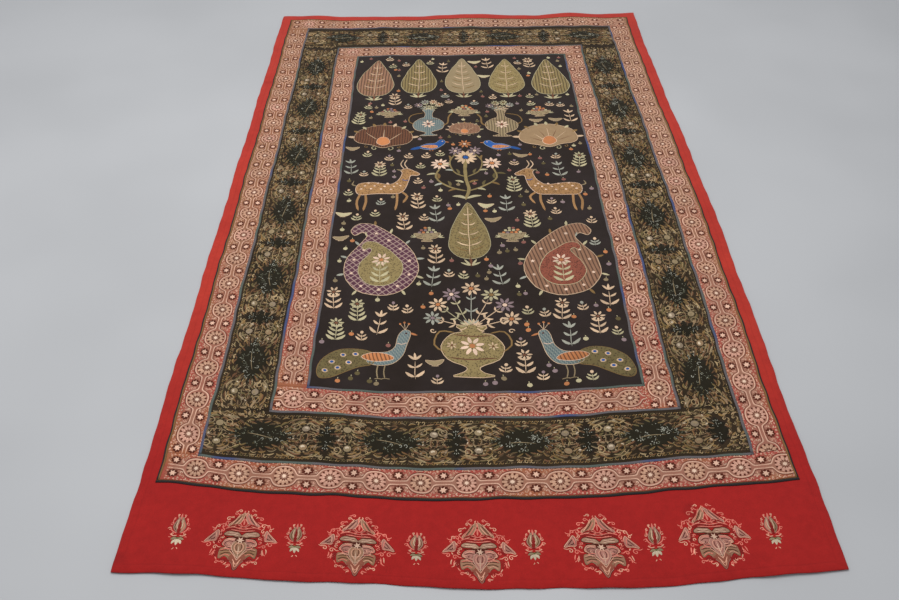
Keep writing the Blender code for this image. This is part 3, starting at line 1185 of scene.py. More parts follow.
@as_motif
def medallion(work):
    """A layered spray of applied leaves round a starred shield, edged with rose tendrils."""
    for hand in BOTH:
        work.hand = hand
        for points, width in (([(3, 24), (20, 26), (40, 22)], 14), ([(4, 36), (18, 38), (34, 30)], 12),
                              ([(44, 20), (47, 4), (52, -12)], 13), ([(40, -20), (46, -30), (44, -44)], 12),
                              ([(12, -52), (24, -50), (36, -48)], 11), ([(14, 60), (24, 50), (36, 38)], 10)):
            work.stroke(points, width, SHADOW_RED, leaf_swell)
    work.hand = 1
    work.edged(mirrored([(0, -73), (8, -60), (19, -46), (14, -32), (0, -28)]), CLAY, DUSTY_ROSE, 2.0)
    work.base = 0.75
    work.strokes(1.9, (BLUSH,), [(-9, -48), (0, -61), (9, -48)], [(-6, -56), (0, -67), (6, -56)])
    foot = work.pick(FOOT_BROWN, FOOT_BROWN, TAUPE)
    wings = work.pick(DUSTY_ROSE, MAUVE, DUSTY_ROSE)
    for hand in BOTH:
        work.hand = hand
        work.base = 0.0
        # The crown: two leaves that lean out from the tip, with a tulip between them
        work.edged([(1, 67), (5, 69), (19, 53), (34, 36), (22, 33), (7, 46)], work.pick(TAUPE, DUSTY_ROSE),
                   BLUSH)
        work.stroke([(0, 56), (5, 49), (8, 42), (3, 36)], 2.4, ROSE)
        work.stroke([(2, 34), (12, 29), (24, 32), (39, 27)], 3.2, ROSE)
        work.stroke([(4, 28), (14, 24), (26, 26)], 2.6, BLUSH)
        work.stroke([(30, 30), (38, 36), (41, 43)], 2.4, ROSE)
        # Fans at the sides
        work.edged([(52, 24), (60, 15), (76, -5), (64, -3), (51, -2), (48, 12)], DUSTY_ROSE, BLUSH, 2.4)
        # Lobes at the foot, then wings over them
        work.edged([(12, -18), (28, -20), (39, -24), (38, -45), (27, -39), (16, -46), (6, -32)], foot, TAUPE,
                   2.0)
        work.base = 0.35
        work.edged([(8, 0), (21, 2), (31, -2), (36, -13), (29, -17), (26, -23), (14, -26), (6, -18)], wings,
                   BLUSH, 2.0)
        work.base = 0.8
        work.strokes(1.7, (BLUSH, ROSE), *([(13, y), (22, y + 1), (31, y - 3)] for y in (-3, -19)))
        work.strokes(2.0, (DARK_BROWN,), [(12, -7), (22, -5), (32, -10)], [(14, -23), (22, -20), (30, -16)])
        for x, y in ((16, -14), (22, -13), (29, -12)):
            work.curl((x * hand, y), 3.6, work.any_turn(), 0.95 * hand, 1.6, work.pick(BLUSH, DARK_BROWN), 7)
        work.strokes(1.8, (DARK_BROWN,), [(12, -28), (24, -26), (38, -28)], [(14, -34), (26, -32), (37, -37)],
                     [(56, 14), (60, 9), (67, 0)], [(54, 6), (57, 2), (63, 0)], [(9, 64), (15, 52), (25, 39)])
        work.strokes(1.6, (ROSE, BLUSH), [(11, 67), (19, 53), (29, 37)], [(6, 60), (12, 49), (20, 38)],
                     [(55, 18), (53, 10), (54, 2)], [(10, -2), (18, 0), (27, 0)],
                     [(34, -8), (33, -14), (27, -18)], [(12, -24), (26, -23), (38, -27)],
                     [(16, -40), (26, -36), (36, -42)])
        # The long level leaves, with the shadow under them
        work.base = 0.3
        work.stroke([(0, 7), (12, 5), (24, 3), (36, 6)], 4.4, DARK_BROWN, leaf_swell)
        work.edged([(0, 9), (2, 11), (8, 17), (17, 18), (27, 20), (35, 16), (36, 11), (25, 9), (16, 9),
                    (8, 6)], PALE_TAUPE, PALE_TAUPE, 2.0)
        work.base = 0.75
        work.strokes(1.8, (BISQUE,), [(6, 9), (17, 12), (31, 11)], [(7, 15), (17, 15), (29, 17)])
        work.stroke([(8, 12), (19, 14), (32, 14)], 1.8, RUST)
        for x, y, radius in ((42, -6, 4.4), (39, 4, 3.6), (46, 12, 3.4)):
            work.curl((x * hand, y), radius, work.any_turn(), 0.95 * hand, 2.0, work.pick(ROSE, BLUSH), 7)
        # Tendrils and strokes all round
        work.base = 0.0
        for x, y, radius, start, turns in (
                (31, 42, 4.6, 2.6, -1.0), (44, 35, 4.6, 1.0, 1.0), (43, 23, 3.8, 2.2, 1.0),
                (66, -14, 5.6, 1.2, 1.1), (51, -18, 4.8, 2.4, -1.1), (45, 2, 4.2, 0.4, 1.1),
                (36, 54, 4.4, 1.8, -1.0), (13, 75, 3.4, 0.6, 1.0), (28, -54, 3.8, 0.9, 1.1),
                (48, -33, 4.6, 0.2, 1.0), (22, 66, 3.6, 2.6, -1.0), (53, 33, 4.0, 0.0, 1.0),
                (40, -55, 3.6, 2.2, -1.0), (15, -64, 3.2, 1.0, 1.0), (61, 24, 3.4, 1.6, 1.0)):
            spot = (x * hand + work.jog(1.5), y + work.jog(1.5))
            work.tendril(spot, work.between(0.9, 1.15) * radius, *work.winding(start, turns), 2.3,
                         work.pick(ROSE, ROSE, BLUSH))
        for root, tip in (((50, -24), (53, -40)), ((56, -22), (59, -36)), ((46, -40), (40, -50)),
                          ((20, -54), (26, -60)), ((34, 46), (40, 42)), ((47, 20), (43, 14)),
                          ((12, -64), (18, -68)), ((4, 70), (2, 76)), ((24, 56), (30, 59)),
                          ((58, -6), (54, -12))):
            work.leaf(*work.at(root, tip), 3.2, work.pick(ROSE, BLUSH), work.jog(2), 4)
    # The tulip at the tip, the shield and its star
    work.hand = 1
    work.leaf((0, 38), (0, 54), 4.4, ROSE)
    work.leaf((work.pick(-3, 3), 58), (work.pick(-4, 4), 72), 5.6, ROSE)
    work.base = 0.75
    shield = mirrored([(0, -45), (9, -34), (15, -21), (12, -8), (0, -3)])
    work.edged(shield, work.pick(MAUVE, DUSTY_ROSE, TAUPE), BISQUE, 1.9)
    work.base = 1.2
    work.strokes(2.2, (ROSE,), [(-20, 31), (0, 27), (20, 31)], [(-26, 24), (0, 21), (26, 24)],
                 [(-14, 38), (0, 33), (14, 38)])
    path = smooth_curve([(x * 0.62, -20 + (y + 20) * 0.62) for x, y in shield], 3, closed=True)
    work.line([*path, path[0]], 1.6, BLUSH, closed=True)
    for hand in BOTH:
        work.stroke([(3.4 * hand, -10), (5.6 * hand, -19), (3.2 * hand, -29)], 2.0, DARK_BROWN)
        work.stroke([(0, -52), (9 * hand, -38), (19 * hand, -27)], 1.7, BLUSH)
    work.line([Vector((0, y)) for y in (-12, -24, -36, -50)], 2.2, BISQUE)
    work.stroke([(-10, -27), (0, -30), (10, -27)], 1.6, BISQUE)
    work.dome((0, -2), (11.0, 9.4), DARK_BROWN, sides=12, crown=0.4)
    work.base = 1.5
    work.star((0, -2), 8.8, 0.42, 6, BISQUE, pi / 2 + work.jog(0.2))


@as_motif
def skirt_spray(work):
    """Two upright leaves side by side, with tendrils round them, over a small pale flower."""
    work.stroke([(0, -6), (0, 10), (0, 30)], 20.0, SHADOW_RED, leaf_swell)
    for hand in BOTH:
        work.hand = hand
        work.base = 0.0
        work.edged([(1, -1), (7, 2), (13, 13), (10, 25), (3, 38), (2, 27), (2, 12)],
                   work.pick(TAN, PALE_TAUPE, TAN), DUSTY_ROSE, 2.4)
        work.base = 0.7
        work.stroke([(5, 3), (10, 13), (7, 26)], 1.5, work.pick(DARK_BROWN, ROSE))
        work.stroke([(3, 8), (6, 17), (4, 31)], 1.8, BISQUE)
        work.base = 0.0
        work.stroke([(3, -3), (14, 3), (19, 14)], 3.0, ROSE)
        work.stroke([(2, -8), (10, -9), (17, -4)], 2.8, BLUSH)
        work.stroke([(13, 20), (16, 28), (12, 37)], 2.4, ROSE)
        work.stroke([(4, 34), (8, 40), (5, 44)], 2.0, BLUSH)
        for x, y, radius, start, turns in ((18, 20, 4.0, 1.0, 1.0), (20, 8, 4.2, 0.0, 1.0),
                                           (13, 33, 3.2, 2.0, -0.9), (13, -4, 3.0, 1.4, 1.0),
                                           (7, 42, 2.8, 2.4, -0.9)):
            work.curl((x * hand, y), work.between(0.9, 1.1) * radius, *work.winding(start, turns), 2.0,
                      work.pick(ROSE, BLUSH), 12)
        for tip, width, colour, bend in (((13, -18), 7.0, SAND, 3), ((9, -28), 6.4, HEAD_PALE, 2)):
            end = (tip[0] * hand, tip[1])
            work.leaf((0, -16), end, width + 2.6, DARK_BROWN, bend * hand)
            work.base = 0.3
            work.leaf((0, -17), end, width, colour, bend * hand)
            work.base = 0.0
        work.leaf((13 * hand, -12), (19 * hand, -11), 2.6, ROSE, 1.0, 4)
        work.leaf((2 * hand, -36), (6 * hand, -41), 2.6, BLUSH, 1.0, 4)
    work.leaf((0, 31), (work.jog(1), 47), 5.0, ROSE)
    work.base = 0.3
    work.leaf((0, -17), (0, -31), 6.0, HEAD_PALE)
    work.base = 0.5
    work.seed((0, -15), 8.0, 5.6, 0.0, LEAF_GREEN)


# Motifs of the field's garden, each with its foot at its origin

LEAF_TONES = (IVORY, CREAM, IVORY, CHALK)


def stem(work, foot, height, lean, pairs, reach, colour, width=2.4):
    """A stem with pairs of leaves. Gives back its tip."""
    ahead = Vector((sin(lean), cos(lean)))
    aside = Vector((cos(lean), -sin(lean)))
    foot = Vector(foot)
    work.line([foot + ahead * height * k / 3 for k in range(4)], width, colour)
    for k in range(pairs):
        share = (k + 0.35) / (pairs + 0.25)
        size = reach * (1.0 - 0.5 * share)
        root = foot + ahead * height * share
        for side in BOTH:
            work.leaf(root, root + aside * size * side + ahead * size * 0.8, 0.36 * size + 1.2, colour,
                      -0.12 * size * side, 4)
    return foot + ahead * height


def star_flower(work, middle, radius, petals, colour, heart):
    """A flower of pointed petals round a heart."""
    start = work.between(0, 2 * pi / petals)
    for k in range(petals):
        turn = start + 2 * pi * k / petals
        root, tip = (polar(radius * share, turn, middle) for share in (0.24, 1.0))
        work.leaf(root, tip, radius * 0.36, colour, steps=4)
    work.dome(middle, (radius * 0.27, radius * 0.27), heart)


def bouquet(work, foot, leans, height, radius):
    """Flowering stems that fan out from a foot."""
    for lean in leans:
        colour = work.pick(*LEAF_TONES)
        tip = stem(work, foot, height * (1.0 - 0.22 * abs(lean)), lean, 3, 19, colour)
        tone, heart = work.pick((CREAM, ORANGE), (CHALK, LAVENDER), (IVORY, GOLD), (LAVENDER, PALE))
        star_flower(work, tip, radius, 8, tone, heart)


@as_motif
def sprig(work):
    """A small leafy stem with a flower, a bud or a tuft at its tip."""
    colour = work.pick(*LEAF_TONES)
    tip = stem(work, (0, 0), 68, 0.0, work.number % 3 + 2, 27, colour)
    if work.number % 3:
        star_flower(work, tip, 21, 6 + work.number % 3, work.pick(colour, CREAM, CHALK), WALNUT)
    else:
        for lean in (-0.8, 0.0, 0.8):
            work.leaf(tip, polar(24, pi / 2 + lean, tip), 8.0, colour)


@as_motif
def low_sprig(work):
    """A short tuft of leaves."""
    stem(work, (0, 0), 26, 0.0, 2, 18, work.pick(*LEAF_TONES))
    work.dome((0, 31), (5.5, 6.5), work.pick(LAVENDER, ORANGE, CREAM, CHALK))


@as_motif
def footed_bowl(work):
    """A little pale bowl."""
    cloth = work.pick(IVORY, SAND, KHAKI)
    work.shape([*mirrored([(-24, 20), (-14, 6), (-6, 3), (-8, 0)]), (0, 17)], cloth, PLAIN, CREAM, 1.8)


@as_motif
def fruit(work):
    """A round fruit with a leaf."""
    tone = (LAVENDER, OLIVE, IVORY, MAUVE, SAND, ORANGE)[work.number]
    work.dome((0, 8), (8.0, 7.6), tone, sides=10, crown=0.9)
    work.seed((0, 18), 6.0, 3.0, pi / 2, IVORY)


@as_motif
def fruit_bowl(work):
    """A wide footed bowl heaped with fruit."""
    for row, count in enumerate((5, 4, 2)):
        for k in range(count):
            tone = work.pick(LAVENDER, ORANGE, IVORY, MAUVE)
            work.dome(((k - (count - 1) / 2) * 19, 66 + 16 * row), (9.6, 9.0), tone, sides=10, crown=1.0)
    work.shape([*mirrored([(-64, 60), (-44, 24), (-16, 14), (-28, 0)]), (0, 55)], SAND, STIPPLED, CREAM)
    for side in BOTH:
        for lean in (0.5, 1.0, 1.5):
            work.leaf((52 * side, 30), (52 * side + 30 * sin(lean) * side, 30 + 30 * cos(lean)), 8, IVORY)


@as_motif
def urn_of_flowers(work):
    """A footed urn with two handles and a wide bouquet."""
    bouquet(work, (0, 150), (-1.25, -0.8, -0.4, 0.0, 0.4, 0.8, 1.25), 132, 24)
    for side in BOTH:
        work.line(smooth_curve([(52 * side, 66), (88 * side, 96), (74 * side, 138), (38 * side, 134)], 3),
                  5.0, GOLD)
        work.curl((90 * side, 140), 8, 0.0, side, 3.2, CREAM)
    work.shape(mirrored([(-46, 0), (-24, 12), (-16, 28), (-58, 52), (-72, 92), (-48, 128), (-22, 138),
                         (-34, 158)]), KHAKI, STIPPLED, CREAM, 2.6)
    work.base = PATCH_RISE
    for y, reach in ((56, 56), (128, 44)):
        work.stroke([(-reach, y), (0, y - 5), (reach, y)], 4.0, WALNUT)
    star_flower(work, (0, 92), 30, 8, PALE, ORANGE)
    for side in BOTH:
        star_flower(work, (48 * side, 94), 13, 6, CREAM, WALNUT)


@as_motif
def peacock(work):
    """A peacock with its train down behind it."""
    for x in (14, 34):
        work.stroke([(x, 56), (x - 4, 28), (x + 2, 2)], 4.4, SAND)
        work.stroke([(x - 8, 2), (x + 2, 3), (x + 16, 0)], 3.4, SAND)
    work.shape([(4, 92), (-40, 112), (-96, 106), (-140, 74), (-158, 24), (-150, -6), (-118, -2), (-76, 22),
                (-40, 44), (0, 56)], OLIVE, STIPPLED, GOLD, 2.8)
    work.shape([(-20, 66), (4, 98), (36, 106), (58, 128), (66, 168), (80, 190), (98, 186), (100, 166),
                (92, 132), (80, 92), (54, 60), (14, 50)], STEEL, ZIGZAG, CREAM, 2.6, 0.6)
    for x, y in ((70, 216), (84, 222), (98, 216)):
        work.stroke([(86, 190), ((x + 86) / 2, 204), (x, y)], 1.8, CREAM)
        work.dome(work.at((x, y))[0], (4.5, 4.5), ORANGE)
    work.leaf(*work.at((98, 178), (122, 170)), 8, ORANGE)
    work.base = PATCH_RISE
    work.shape([(-36, 84), (-6, 100), (36, 96), (56, 78), (24, 66), (-8, 68)], ORANGE, STRIPED, PALE, 2.4,
               0.3)
    for x, y in ((-52, 92), (-88, 84), (-118, 56), (-134, 22), (-70, 58), (-98, 36)):
        spot = work.at((x, y))[0]
        work.dome(spot, (11, 9), CREAM, sides=10)
        work.base += 0.35
        work.dome(spot, (6.4, 5.4), SEA_BLUE, sides=8)
        work.base -= 0.35
    work.dome(work.at((88, 176))[0], (3.6, 3.6), DARK_BROWN)
    work.stroke([(62, 140), (76, 134), (92, 140)], 3.0, PALE)


@as_motif
def boteh(work):
    """A tall leaf with a bent tip and a flowering sprig inside it."""
    outline = [(0, 0), (62, 20), (100, 76), (98, 142), (64, 206), (20, 252), (-26, 288), (-72, 296),
               (-94, 268), (-82, 244), (-62, 256), (-46, 240), (-64, 202), (-94, 150), (-100, 82), (-62, 20)]
    cloth, finish = ((PLUM, CHECKED), (TAUPE, STRIPED), (KHAKI, STIPPLED))[work.number % 3]
    for x, y in outline[1:7] + outline[-5:]:
        middle = Vector((x * 0.5, 120 + (y - 120) * 0.5))
        spot, centre = work.at((x, y), middle)
        work.leaf(spot, spot + (spot - centre).normalized() * 22, 9, work.pick(IVORY, GOLD, CHALK))
    work.shape(outline, cloth, finish, CREAM, 3.0, 0.75 if finish == CHECKED else 0.2)
    work.base = PATCH_RISE
    inner = [(x * 0.60, 112 + (y - 126) * 0.60) for x, y in outline]
    work.shape(inner, (KHAKI, CLAY, WALNUT)[work.number % 3], STIPPLED, IVORY, 2.4)
    for x, y in [(x * 0.80, 118 + (y - 122) * 0.80) for x, y in outline[:7] + outline[-4:]]:
        work.star(work.at((x, y))[0], 7.5, 0.5, 5, PALE)
    work.base = 2 * PATCH_RISE
    work.hand = 1
    tip = stem(work, (0, 44), 96, 0.0, 4, 30, IVORY)
    star_flower(work, tip, 27, 8, PALE, ORANGE)


@as_motif
def cypress(work):
    """A pointed tree with rows of stitched boughs."""
    work.stroke([(0, 0), (1, 20), (0, 46)], 9, WALNUT)
    for side in BOTH:
        for lean in (0.6, 1.15):
            work.leaf((0, 4), (34 * sin(lean) * side, 4 + 34 * cos(lean)), 9, IVORY)
    cloth, finish = ((TAUPE, STRIPED), (KHAKI, STRIPED), (SAND, PLAIN), (KHAKI, STIPPLED))[work.number % 4]
    work.shape(mirrored([(0, 34), (40, 46), (64, 90), (60, 146), (42, 208), (20, 262), (0, 300)]), cloth,
               finish, IVORY, 2.8)
    work.base = PATCH_RISE
    work.stroke([(0, 44), (0, 150), (0, 284)], 3.0, CREAM)
    for k in range(8):
        y = 66 + 25 * k
        reach = 46 - 4.6 * k
        for side in BOTH:
            work.leaf((0, y), (reach * side, y + reach * 0.55), 5.4, CREAM if k % 2 else GOLD, -4 * side, 4)


@as_motif
def gazelle(work):
    """A spotted gazelle that lifts one forefoot."""
    for points in ([(-62, 96), (-72, 54), (-64, 4)], [(-48, 92), (-44, 48), (-50, 4)],
                   [(52, 100), (54, 52), (48, 4)], [(62, 104), (86, 74), (72, 40)]):
        work.stroke(points, 9.0, FAWN)
    work.shape([(-78, 100), (-72, 138), (-24, 146), (28, 138), (54, 160), (66, 200), (62, 216), (80, 226),
                (98, 216), (122, 198), (114, 188), (94, 188), (88, 158), (80, 122), (60, 92), (10, 88),
                (-40, 84), (-64, 84)], FAWN, STIPPLED, PALE, 2.6)
    for x in (-2, 10):
        work.stroke([(76 + x, 222), (62 + x, 250), (70 + x, 276)], 4.0, CREAM)
    work.leaf(*work.at((70, 214), (48, 222)), 8, SAND)
    work.stroke([(-76, 130), (-92, 138), (-88, 158)], 6.0, SAND, leaf_swell)
    work.base = PATCH_RISE
    for k in range(13):
        spot = work.at((-62 + 10.5 * k, 112 + 15 * (k % 3) + (20 if k > 11 else 0)))[0]
        work.dome(spot, (4.6, 3.8), PALE)
    work.stroke([(66, 168), (78, 162), (88, 166)], 4.0, SEA_BLUE)
    work.dome(work.at((92, 208))[0], (3.2, 3.2), DARK_BROWN)


@as_motif
def ewer(work):
    """A tall ewer with a long spout and a small bouquet."""
    bouquet(work, (0, 196), (-0.75, -0.25, 0.25, 0.75), 74, 19)
    work.stroke([(44, 70), (78, 92), (80, 140), (96, 172)], 8.0, GOLD)
    work.stroke([(-44, 84), (-80, 110), (-70, 160), (-16, 178)], 5.6, GOLD)
    cloth, finish = ((STEEL, ZIGZAG), (SAND, STRIPED))[work.number % 2]
    work.shape(mirrored([(-36, 0), (-18, 10), (-14, 24), (-54, 50), (-64, 92), (-40, 128), (-17, 144),
                         (-15, 178), (-24, 204)]), cloth, finish, CREAM, 2.6)
    work.base = PATCH_RISE
    star_flower(work, (0, 88), 30, 8, PALE, CLAY)
    work.stroke([(-44, 124), (0, 118), (44, 124)], 3.6, WALNUT)


@as_motif
def palmette(work):
    """A broad pleated palm leaf with a petalled rim, on a scrolled foot."""
    for k in range(9):
        turn = pi * (0.08 + 0.84 * k / 8)
        work.leaf(polar(116, turn, (0, 66)), polar(148, turn, (0, 66)), 17, work.pick(IVORY, CREAM, GOLD))
    cloth, finish = ((WALNUT, STRIPED), (TAN, PLAIN), (STEEL, ZIGZAG), (TAUPE, STRIPED))[work.number % 4]
    work.shape(mirrored([(0, 20), (46, 38), (96, 54), (118, 92), (100, 148), (56, 182), (0, 194)]), cloth,
               finish, CREAM, 3.0)
    for side in BOTH:
        work.curl((30 * side, 14), 14, pi / 2, -side, 4.0, IVORY, 12)
        work.curl((62 * side, 24), 9, pi / 2, -side, 3.2, GOLD, 9)
    work.base = PATCH_RISE
    for k in range(7):
        turn = pi * (0.16 + 0.68 * k / 6)
        work.line([polar(reach, turn, (0, 50)) for reach in (16, 60, 118)], 3.4, (WALNUT, CREAM)[k % 2])
    work.shape(mirrored([(0, 36), (26, 56), (20, 88), (0, 100)]), ORANGE, PLAIN, PALE, 2.6)


@as_motif
def songbird(work):
    """A blue bird with an orange wing."""
    for x in (0, 9):
        work.stroke([(x, 14), (x - 2, 4), (x + 4, 0)], 2.4, ORANGE)
    work.leaf(*work.at((-24, 26), (-68, 10)), 17, SEA_BLUE)
    work.leaf(*work.at((52, 52), (66, 48)), 6, ORANGE)
    work.shape([(-36, 24), (-10, 44), (18, 48), (32, 64), (48, 62), (52, 46), (38, 26), (14, 10), (-14, 10)],
               SEA_BLUE, PLAIN, CHALK, 2.2)
    work.base = PATCH_RISE
    work.shape([(-30, 26), (-6, 36), (20, 34), (26, 22), (4, 16)], ORANGE, STIPPLED, PALE, 2.0)
    work.dome(work.at((42, 55))[0], (3, 3), PALE)


@as_motif
def flowering_tree(work):
    """A tree with two bowed boughs, leaves and large flowers."""
    work.stroke([(-4, 0), (6, 60), (-4, 130), (0, 230)], 12, KHAKI)
    for side in BOTH:
        for bough, width in (([(0, 44), (54, 70), (96, 120), (82, 176)], 7.0),
                             ([(0, 120), (40, 150), (52, 210), (28, 256)], 6.0)):
            work.line(smooth_curve([(x * side, y) for x, y in bough], 4), width, KHAKI)
        for x, y, lean in ((30, 58, 1.9), (52, 72, 0.2), (74, 90, 2.0), (88, 112, 0.1), (96, 140, 1.7),
                           (24, 138, 0.3), (40, 156, 1.5), (50, 190, 1.7), (50, 214, 0.2), (8, 90, 1.2)):
            tip = (x * side + 30 * sin(lean) * side, y + 30 * cos(lean))
            work.leaf((x * side, y), tip, 11, work.pick(IVORY, OLIVE, GOLD, CHALK), 3 * side)
        star_flower(work, (84 * side, 194), 33, 10, PALE, ORANGE)
        star_flower(work, (32 * side, 268), 26, 8, LAVENDER, PALE)
        work.leaf((0, 8), (44 * side, 22), 13, IVORY, 5 * side)
    star_flower(work, (0, 230), 40, 12, CREAM, SEA_BLUE)
    star_flower(work, (0, 310), 24, 8, ORANGE, PALE)


# Each large motif: what it is, its number, where its foot is, in millimetres from the field's middle,
# its size, and 1 or -1 as it faces right or left
GARDEN = (
    (urn_of_flowers, 1, 0, -806, 1.12, 1),
    (peacock, 2, -250, -815, 0.88, 1), (peacock, 3, 256, -818, 0.88, -1),
    (boteh, 3, -250, -520, 1.02, 1), (boteh, 4, 256, -525, 1.02, -1), (cypress, 3, 2, -400, 0.94, 1),
    (flowering_tree, 6, 0, -105, 1.0, 1), (gazelle, 7, -270, -160, 1.0, 1), (gazelle, 8, 276, -165, 1.0, -1),
    (fruit_bowl, 14, -122, -296, 0.62, 1), (fruit_bowl, 15, 126, -300, 0.62, 1),
    (songbird, 9, -118, 168, 1.0, 1), (songbird, 10, 118, 165, 1.0, -1),
    (palmette, 12, -276, 172, 0.84, 1), (palmette, 13, 280, 168, 0.84, 1),
    (ewer, 12, -122, 262, 0.86, 1), (ewer, 11, 128, 258, 0.86, -1), (fruit_bowl, 16, 2, 392, 0.7, 1),
    (palmette, 15, 2, 256, 0.46, 1),
    (cypress, 16, -322, 505, 1.04, 1), (cypress, 17, -162, 520, 1.0, 1), (cypress, 18, 2, 522, 1.02, 1),
    (cypress, 19, 165, 516, 1.0, 1), (cypress, 21, 325, 504, 1.04, 1),
    (fruit_bowl, 17, -262, 388, 0.62, 1), (fruit_bowl, 18, 266, 384, 0.62, 1),
)
FIELD_MIDDLE = Vector(((FIELD_SEAM.left + FIELD_SEAM.right) / 2, (FIELD_SEAM.bottom + FIELD_SEAM.top) / 2))
CELL = 0.012

# The small motifs that are strewn between them, and how many kinds of each there are
STREWN = ((sprig, 6), (low_sprig, 5), (footed_bowl, 2), (fruit, 6))
STREWING_TRIES = 1600
FIELD_MARGIN = 0.012


def cells(low, high):
    """The squares of a coarse grid that lie between two corners."""
    spans = [range(floor(a / CELL), floor(b / CELL) + 1) for a, b in zip(low, high)]
    return {(i, j) for i in spans[0] for j in spans[1]}


def plant_garden():
    """The stitching of the field: its large motifs, and small ones strewn where there is room."""
    stitching = new_stitching()
    for motif, number, x, y, size, hand in GARDEN:
        foot = FIELD_MIDDLE + Vector((x, y)) * MM
        sew(stitching, motif(number, hand), *foot, 0.0, (size, size))
    taken = set()
    for face in stitching.faces:
        spots = [vert.co for vert in face.verts] + [face.calc_center_median()]
        taken |= {(floor(spot.x / CELL), floor(spot.y / CELL)) for spot in spots}
    dice = Random(21)
    sprigs, tufts, bowls, fruits = ([motif(k) for k in range(count)] for motif, count in STREWN)
    inside = grown(FIELD_SEAM, -FIELD_MARGIN)
    for motifs, half_width, height in ((sprigs, 0.020, 0.086), (tufts + bowls, 0.015, 0.034),
                                       (fruits, 0.006, 0.014)):
        for k in range(STREWING_TRIES):
            u = dice.uniform(inside.left + half_width, inside.right - half_width)
            v = dice.uniform(inside.bottom, inside.top - height)
            wanted = cells((u - half_width, v), (u + half_width, v + height))
            if not wanted & taken:
                taken |= wanted
                sew(stitching, dice.choice(motifs), u, v, dice.uniform(-0.12, 0.12))
    return lay_piece("field_garden", stitching, PANEL_TOP, list(FINISHES.values()), "silk_thread")


# Building the cloths

WOOLS = {
    "red_wool": red_wool(),
    "brick_wool": brick_wool(),
    "umber_wool": plain_wool("umber_wool", UMBER, UMBER_FADED, 0.6),
    "black_wool": plain_wool("black_wool", BLACK_BROWN, BLACK_FADED, 0.8),
}
SIDES = ("bottom", "top", "left", "right")
PANEL_EDGE = grown(PIPING_LINE, -PIPING_WIDTH / 2)
CUTS = {"ground_cloth": Cut("red_cloth", CLOTH, "red_wool", 0.0, GROUND_THICK, 0.022)}
for band, outer, inner, wool, right_down in (("outer", PANEL_EDGE, OUTER_SEAM, "brick_wool", False),
                                             ("wide", OUTER_SEAM, INNER_SEAM, "umber_wool", False),
                                             ("inner", INNER_SEAM, FIELD_SEAM, "brick_wool", True)):
    for side, ring in strips_between(outer, inner, right_down).items():
        CUTS[f"{band}_border_{side}"] = Cut(f"{band}_band_{side}", ring, wool, PANEL_LOW, PANEL_THICK, 0.012)
CUTS["centre_field"] = Cut("field_cloth", grown(FIELD_SEAM, -GAP / 2), "black_wool", PANEL_LOW, PANEL_THICK,
                           0.016)
cloths = {node: cut_cloth(cut, hem=node == "ground_cloth") for node, cut in CUTS.items()}

RIBBON_SILK = slate_silk()
BROAD_PIPING = corded_piping("broad_piping", 0.0030)
FINE_PIPING = corded_piping("fine_piping", 0.0008)
trims = {}


def cut_trim(node, piece, seam, width, low, heights, slot, materials):
    """The four strips of a trim that lies along a ring of seams, each in its side's material."""
    edges = strips_between(grown(seam, width / 2), grown(seam, -width / 2))
    for (side, ring), material in zip(edges.items(), materials):
        trims[f"{node}_{side}"] = cut_strip(f"{piece}_{side}", middle_line(ring, side), width - GAP, low,
                                            heights, material, slot)


for title, seam in (("field", FIELD_SEAM), ("inner", INNER_SEAM), ("outer", OUTER_SEAM)):
    cut_trim(f"{title}_ribbon", f"{title}_braid", seam, RIBBON_WIDTH, RIBBON_LOW, RIBBON_HEIGHTS,
             "slate_silk", [RIBBON_SILK] * 4)
cut_trim("edge_piping", "edge_cord", PIPING_LINE, PIPING_WIDTH, PANEL_LOW, PIPING_HEIGHTS, "dark_silk",
         [BROAD_PIPING] + [FINE_PIPING] * 3)

# Stitching on the bands

rosettes = [rosette_repeat(seed) for seed in range(5)]
necks = [starred_neck(seed) for seed in range(20, 23)]
stub = vine_stub(30)
wides = [wide_repeat(seed) for seed in range(40, 44)]
lozenges = [short_lozenge(seed) for seed in range(50, 53)]
fill = end_leaves(54)
choose = Random(7)

# Where each band's first repeat is, how far apart they are, and how many
OUTER_RUNS = {"bottom": Run(-0.622, 0.1006, 14), "top": Run(-0.622, 0.1037, 13),
              "left": Run(-0.950, 0.1065, 20), "right": Run(-1.0095, 0.1065, 21)}
INNER_RUNS = {"bottom": Run(-0.430, 0.1005, 9), "top": Run(-0.420, 0.1040, 9),
              "left": Run(-0.703, 0.1035, 16), "right": Run(-0.793, 0.1033, 17)}
WIDE_RUNS = {"bottom": Run(-0.490, 0.3000, 4), "top": Run(-0.470, 0.3250, 4),
             "left": Run(-0.700, 0.3080, 6), "right": Run(-0.760, 0.3180, 6)}

# How long the motifs are drawn, and how near a band's ends they are sewn
NARROW_PITCH = 0.100
WIDE_PITCH = 0.300
STUB_LENGTH = 0.010
NECK_OVERRUN = 0.004
NECK_ROOM = 0.015
STUB_MARGIN = 0.006
LOZENGE_ROOM = 0.030
FILL_PITCH = 0.020
FILL_START = 0.018
CORNER_FILL = 0.070
SEAM_FILL = 0.012
SCROLL_MARGIN = 8
SCROLL_PITCH = 13.6


def band_axis(ring, side):
    """A function from a place along a band's middle line to its place on the cloth, its turn and ends."""
    across = (ring.left + ring.right) / 2
    along = (ring.bottom + ring.top) / 2
    if side in ("bottom", "top"):
        return (lambda run: (run, along)), 0.0, (ring.left, ring.right)
    return (lambda run: (across, run)), pi / 2, (ring.bottom, ring.top)


def trim_ends(stitching, side, low, high):
    """Cuts off the stitching that runs past a band's two ends."""
    axis = Vector((1, 0, 0)) if side in ("bottom", "top") else Vector((0, 1, 0))
    for end, out in ((low, -1), (high, 1)):
        slice_mesh(stitching, axis * end, axis * out, clear=True)


